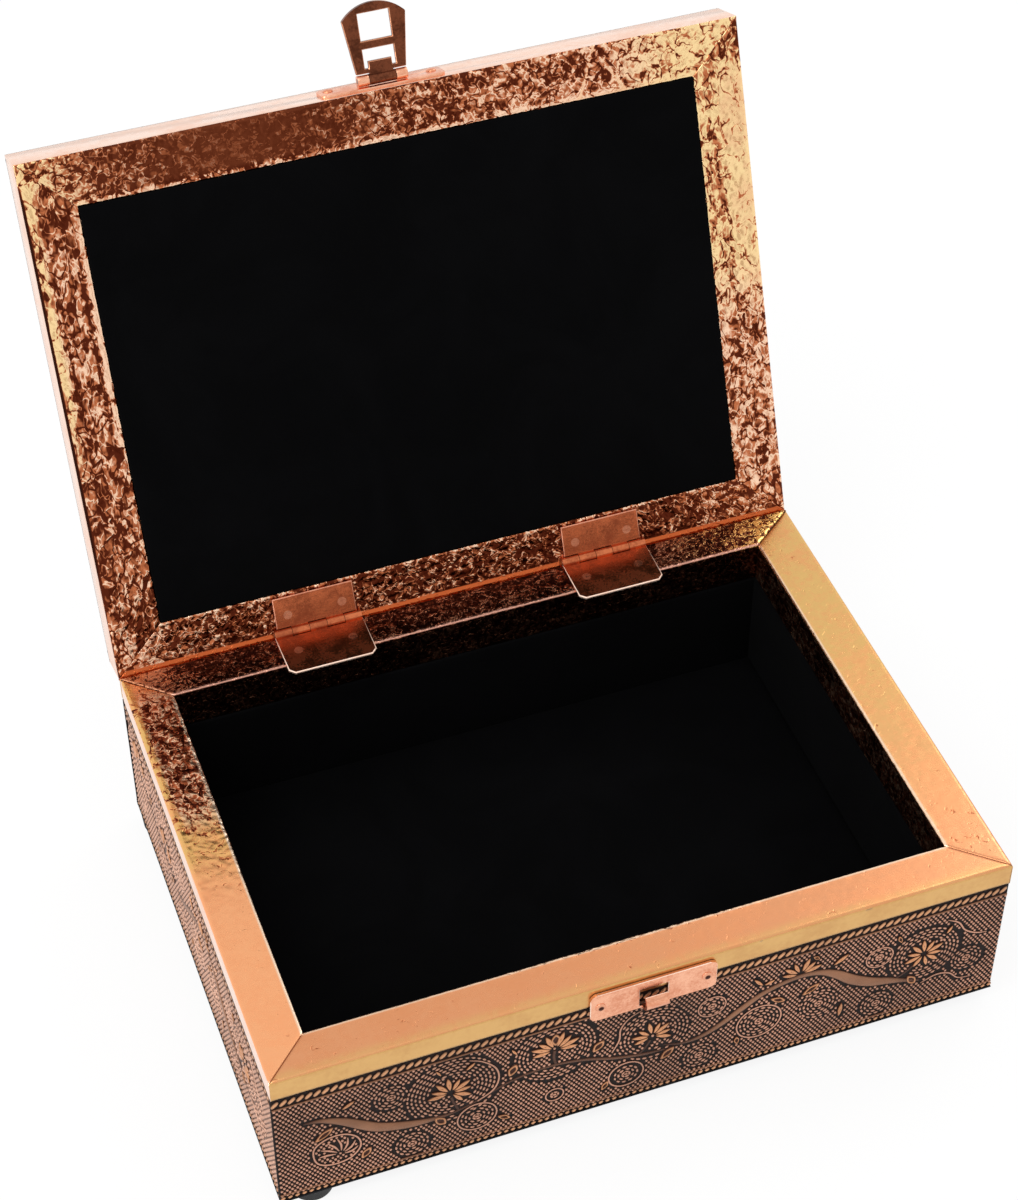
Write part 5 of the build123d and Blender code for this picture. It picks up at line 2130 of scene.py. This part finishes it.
@dataclass
class Studio:
    """A pale floor, soft lamps, a pale surround and the camera."""

    azimuth: float = -19.885
    elevation: float = 44.53
    roll: float = -0.138
    target: tuple[float, float, float] = (15.39, 76.594, 44.0)
    distance: float = 820.461
    lens: float = 84.11
    lamps: tuple[tuple[tuple[float, float, float], float, float], ...] = (
        ((-0.55, -0.25, 1.25), 0.8, 6.0),
        ((0.9, 0.5, 1.1), 0.6, 3.0),
        ((-1.2, -0.1, 0.4), 0.5, 3.5),
    )
    surround: float = 1.04
    band_top: tuple[float, float] = (0.12, 0.3)
    band_left: tuple[float, float] = (0.1, 0.2)
    band_right: tuple[float, float] = (0.27, 0.34)
    band_colour: Colour = (0.55, 0.45, 0.4)
    floor_radius: float = 1.4

    def camera(self) -> None:
        """Makes the camera."""
        azimuth, elevation, roll = (math.radians(v) for v in (self.azimuth, self.elevation, self.roll))
        back = Vector((math.sin(azimuth) * math.cos(elevation), -math.cos(azimuth) * math.cos(elevation),
                       math.sin(elevation)))
        right = Vector((-back.y, back.x, 0)).normalized()
        up = back.cross(right)
        turned = right * math.cos(roll) + up * math.sin(roll)
        upright = back.cross(turned)
        data = bpy.data.cameras.new("camera")
        data.lens, data.sensor_width, data.clip_start = self.lens, 36.0, 0.01
        camera = bpy.data.objects.new("camera", data)
        camera.matrix_world = (Matrix.Translation((Vector(self.target) + back * self.distance) * MM)
                               @ Matrix((turned, upright, back)).transposed().to_4x4())
        bpy.context.scene.collection.objects.link(camera)
        bpy.context.scene.camera = camera

    def lights(self) -> None:
        """Makes the area lamps."""
        for index, (place, size, power) in enumerate(self.lamps):
            data = bpy.data.lights.new(f"lamp_{index}", "AREA")
            data.shape, data.size, data.energy = "DISK", size, power
            lamp = bpy.data.objects.new(data.name, data)
            away = Vector(place) - Vector((0, 0.03, 0.05))
            lamp.matrix_world = Matrix.Translation(place) @ away.to_track_quat("Z", "Y").to_matrix().to_4x4()
            bpy.context.scene.collection.objects.link(lamp)

    def world(self) -> None:
        """Makes the surround: white to the camera, pale above, with a warm dark band low in front."""
        world = bpy.data.worlds.new("surround")
        world.use_nodes = True
        s = NodeSketch(world.node_tree)
        world.node_tree.nodes.clear()
        way = s.add("ShaderNodeSeparateXYZ", {0: s.add("ShaderNodeTexCoord").outputs["Generated"]})
        in_front = s.ramp(s.math("MULTIPLY", way.outputs[1], -1.0), 0.55, 0.85)
        low = s.math("SUBTRACT", 1.0, s.ramp(way.outputs[2], *self.band_top))
        left, right = (s.ramp(way.outputs[0], *edge) for edge in (self.band_left, self.band_right))
        aside = s.math("MULTIPLY", left, s.math("SUBTRACT", 1.0, right))
        band = s.math("MULTIPLY", s.math("MULTIPLY", in_front, low),
                      s.math("MULTIPLY_ADD", aside, 0.85, 0.15))
        above = s.ramp(way.outputs[2], -0.1, 0.7)
        level = s.math("MULTIPLY_ADD", above, -0.12 * self.surround, self.surround)
        ray = s.add("ShaderNodeLightPath").outputs["Is Camera Ray"]
        strength = s.add("ShaderNodeMix", {0: ray, 2: level, 3: 1.0}).outputs[0]
        seen = s.math("MULTIPLY", band, s.math("SUBTRACT", 1.0, ray))
        colour = s.blend(seen, (1.0, 1.0, 1.0), self.band_colour)
        light = s.add("ShaderNodeBackground", {"Color": colour, "Strength": strength})
        s.add("ShaderNodeOutputWorld", {0: light.outputs[0]})
        bpy.context.scene.world = world

    def floor(self) -> None:
        """Makes the pale floor, which keeps the object's shadow."""
        points = [(self.floor_radius * math.cos(t), self.floor_radius * math.sin(t), 0) for t in around(48)]
        mesh = mesh_of("floor", np.array(points), [range(len(points))])
        floor = new_object("floor", mesh)
        pale = bpy.data.materials.new("floor_pale")
        pale.use_nodes = True
        pale.node_tree.nodes.clear()
        s = NodeSketch(pale.node_tree)
        rays = s.add("ShaderNodeLightPath")
        seen = s.math("MAXIMUM", rays.outputs["Is Camera Ray"], rays.outputs["Is Glossy Ray"])
        seen = s.math("MAXIMUM", seen, rays.outputs["Is Transmission Ray"])
        matt = s.add("ShaderNodeBsdfDiffuse", {"Color": (0.86, 0.86, 0.86, 1)})
        glow = s.add("ShaderNodeEmission", {"Color": (1, 1, 1, 1), "Strength": 1.0})
        mixed = s.add("ShaderNodeMixShader", {0: s.math("MULTIPLY", seen, 0.88),
                                              1: matt.outputs[0], 2: glow.outputs[0]})
        s.add("ShaderNodeOutputMaterial", {0: mixed.outputs[0]})
        mesh.materials.append(pale)

    def build(self) -> None:
        """Sets the studio up."""
        bpy.context.scene.view_settings.view_transform = "Standard"
        self.camera()
        self.lights()
        self.world()
        self.floor()


def main() -> None:
    """Builds the box and the studio."""
    logging.basicConfig(level=logging.INFO, format="%(message)s")
    Base(BoxSizes.read()).build()
    Lid().build()
    Hasp().build()
    Studio().build()


if __name__ == "__main__":
    main()
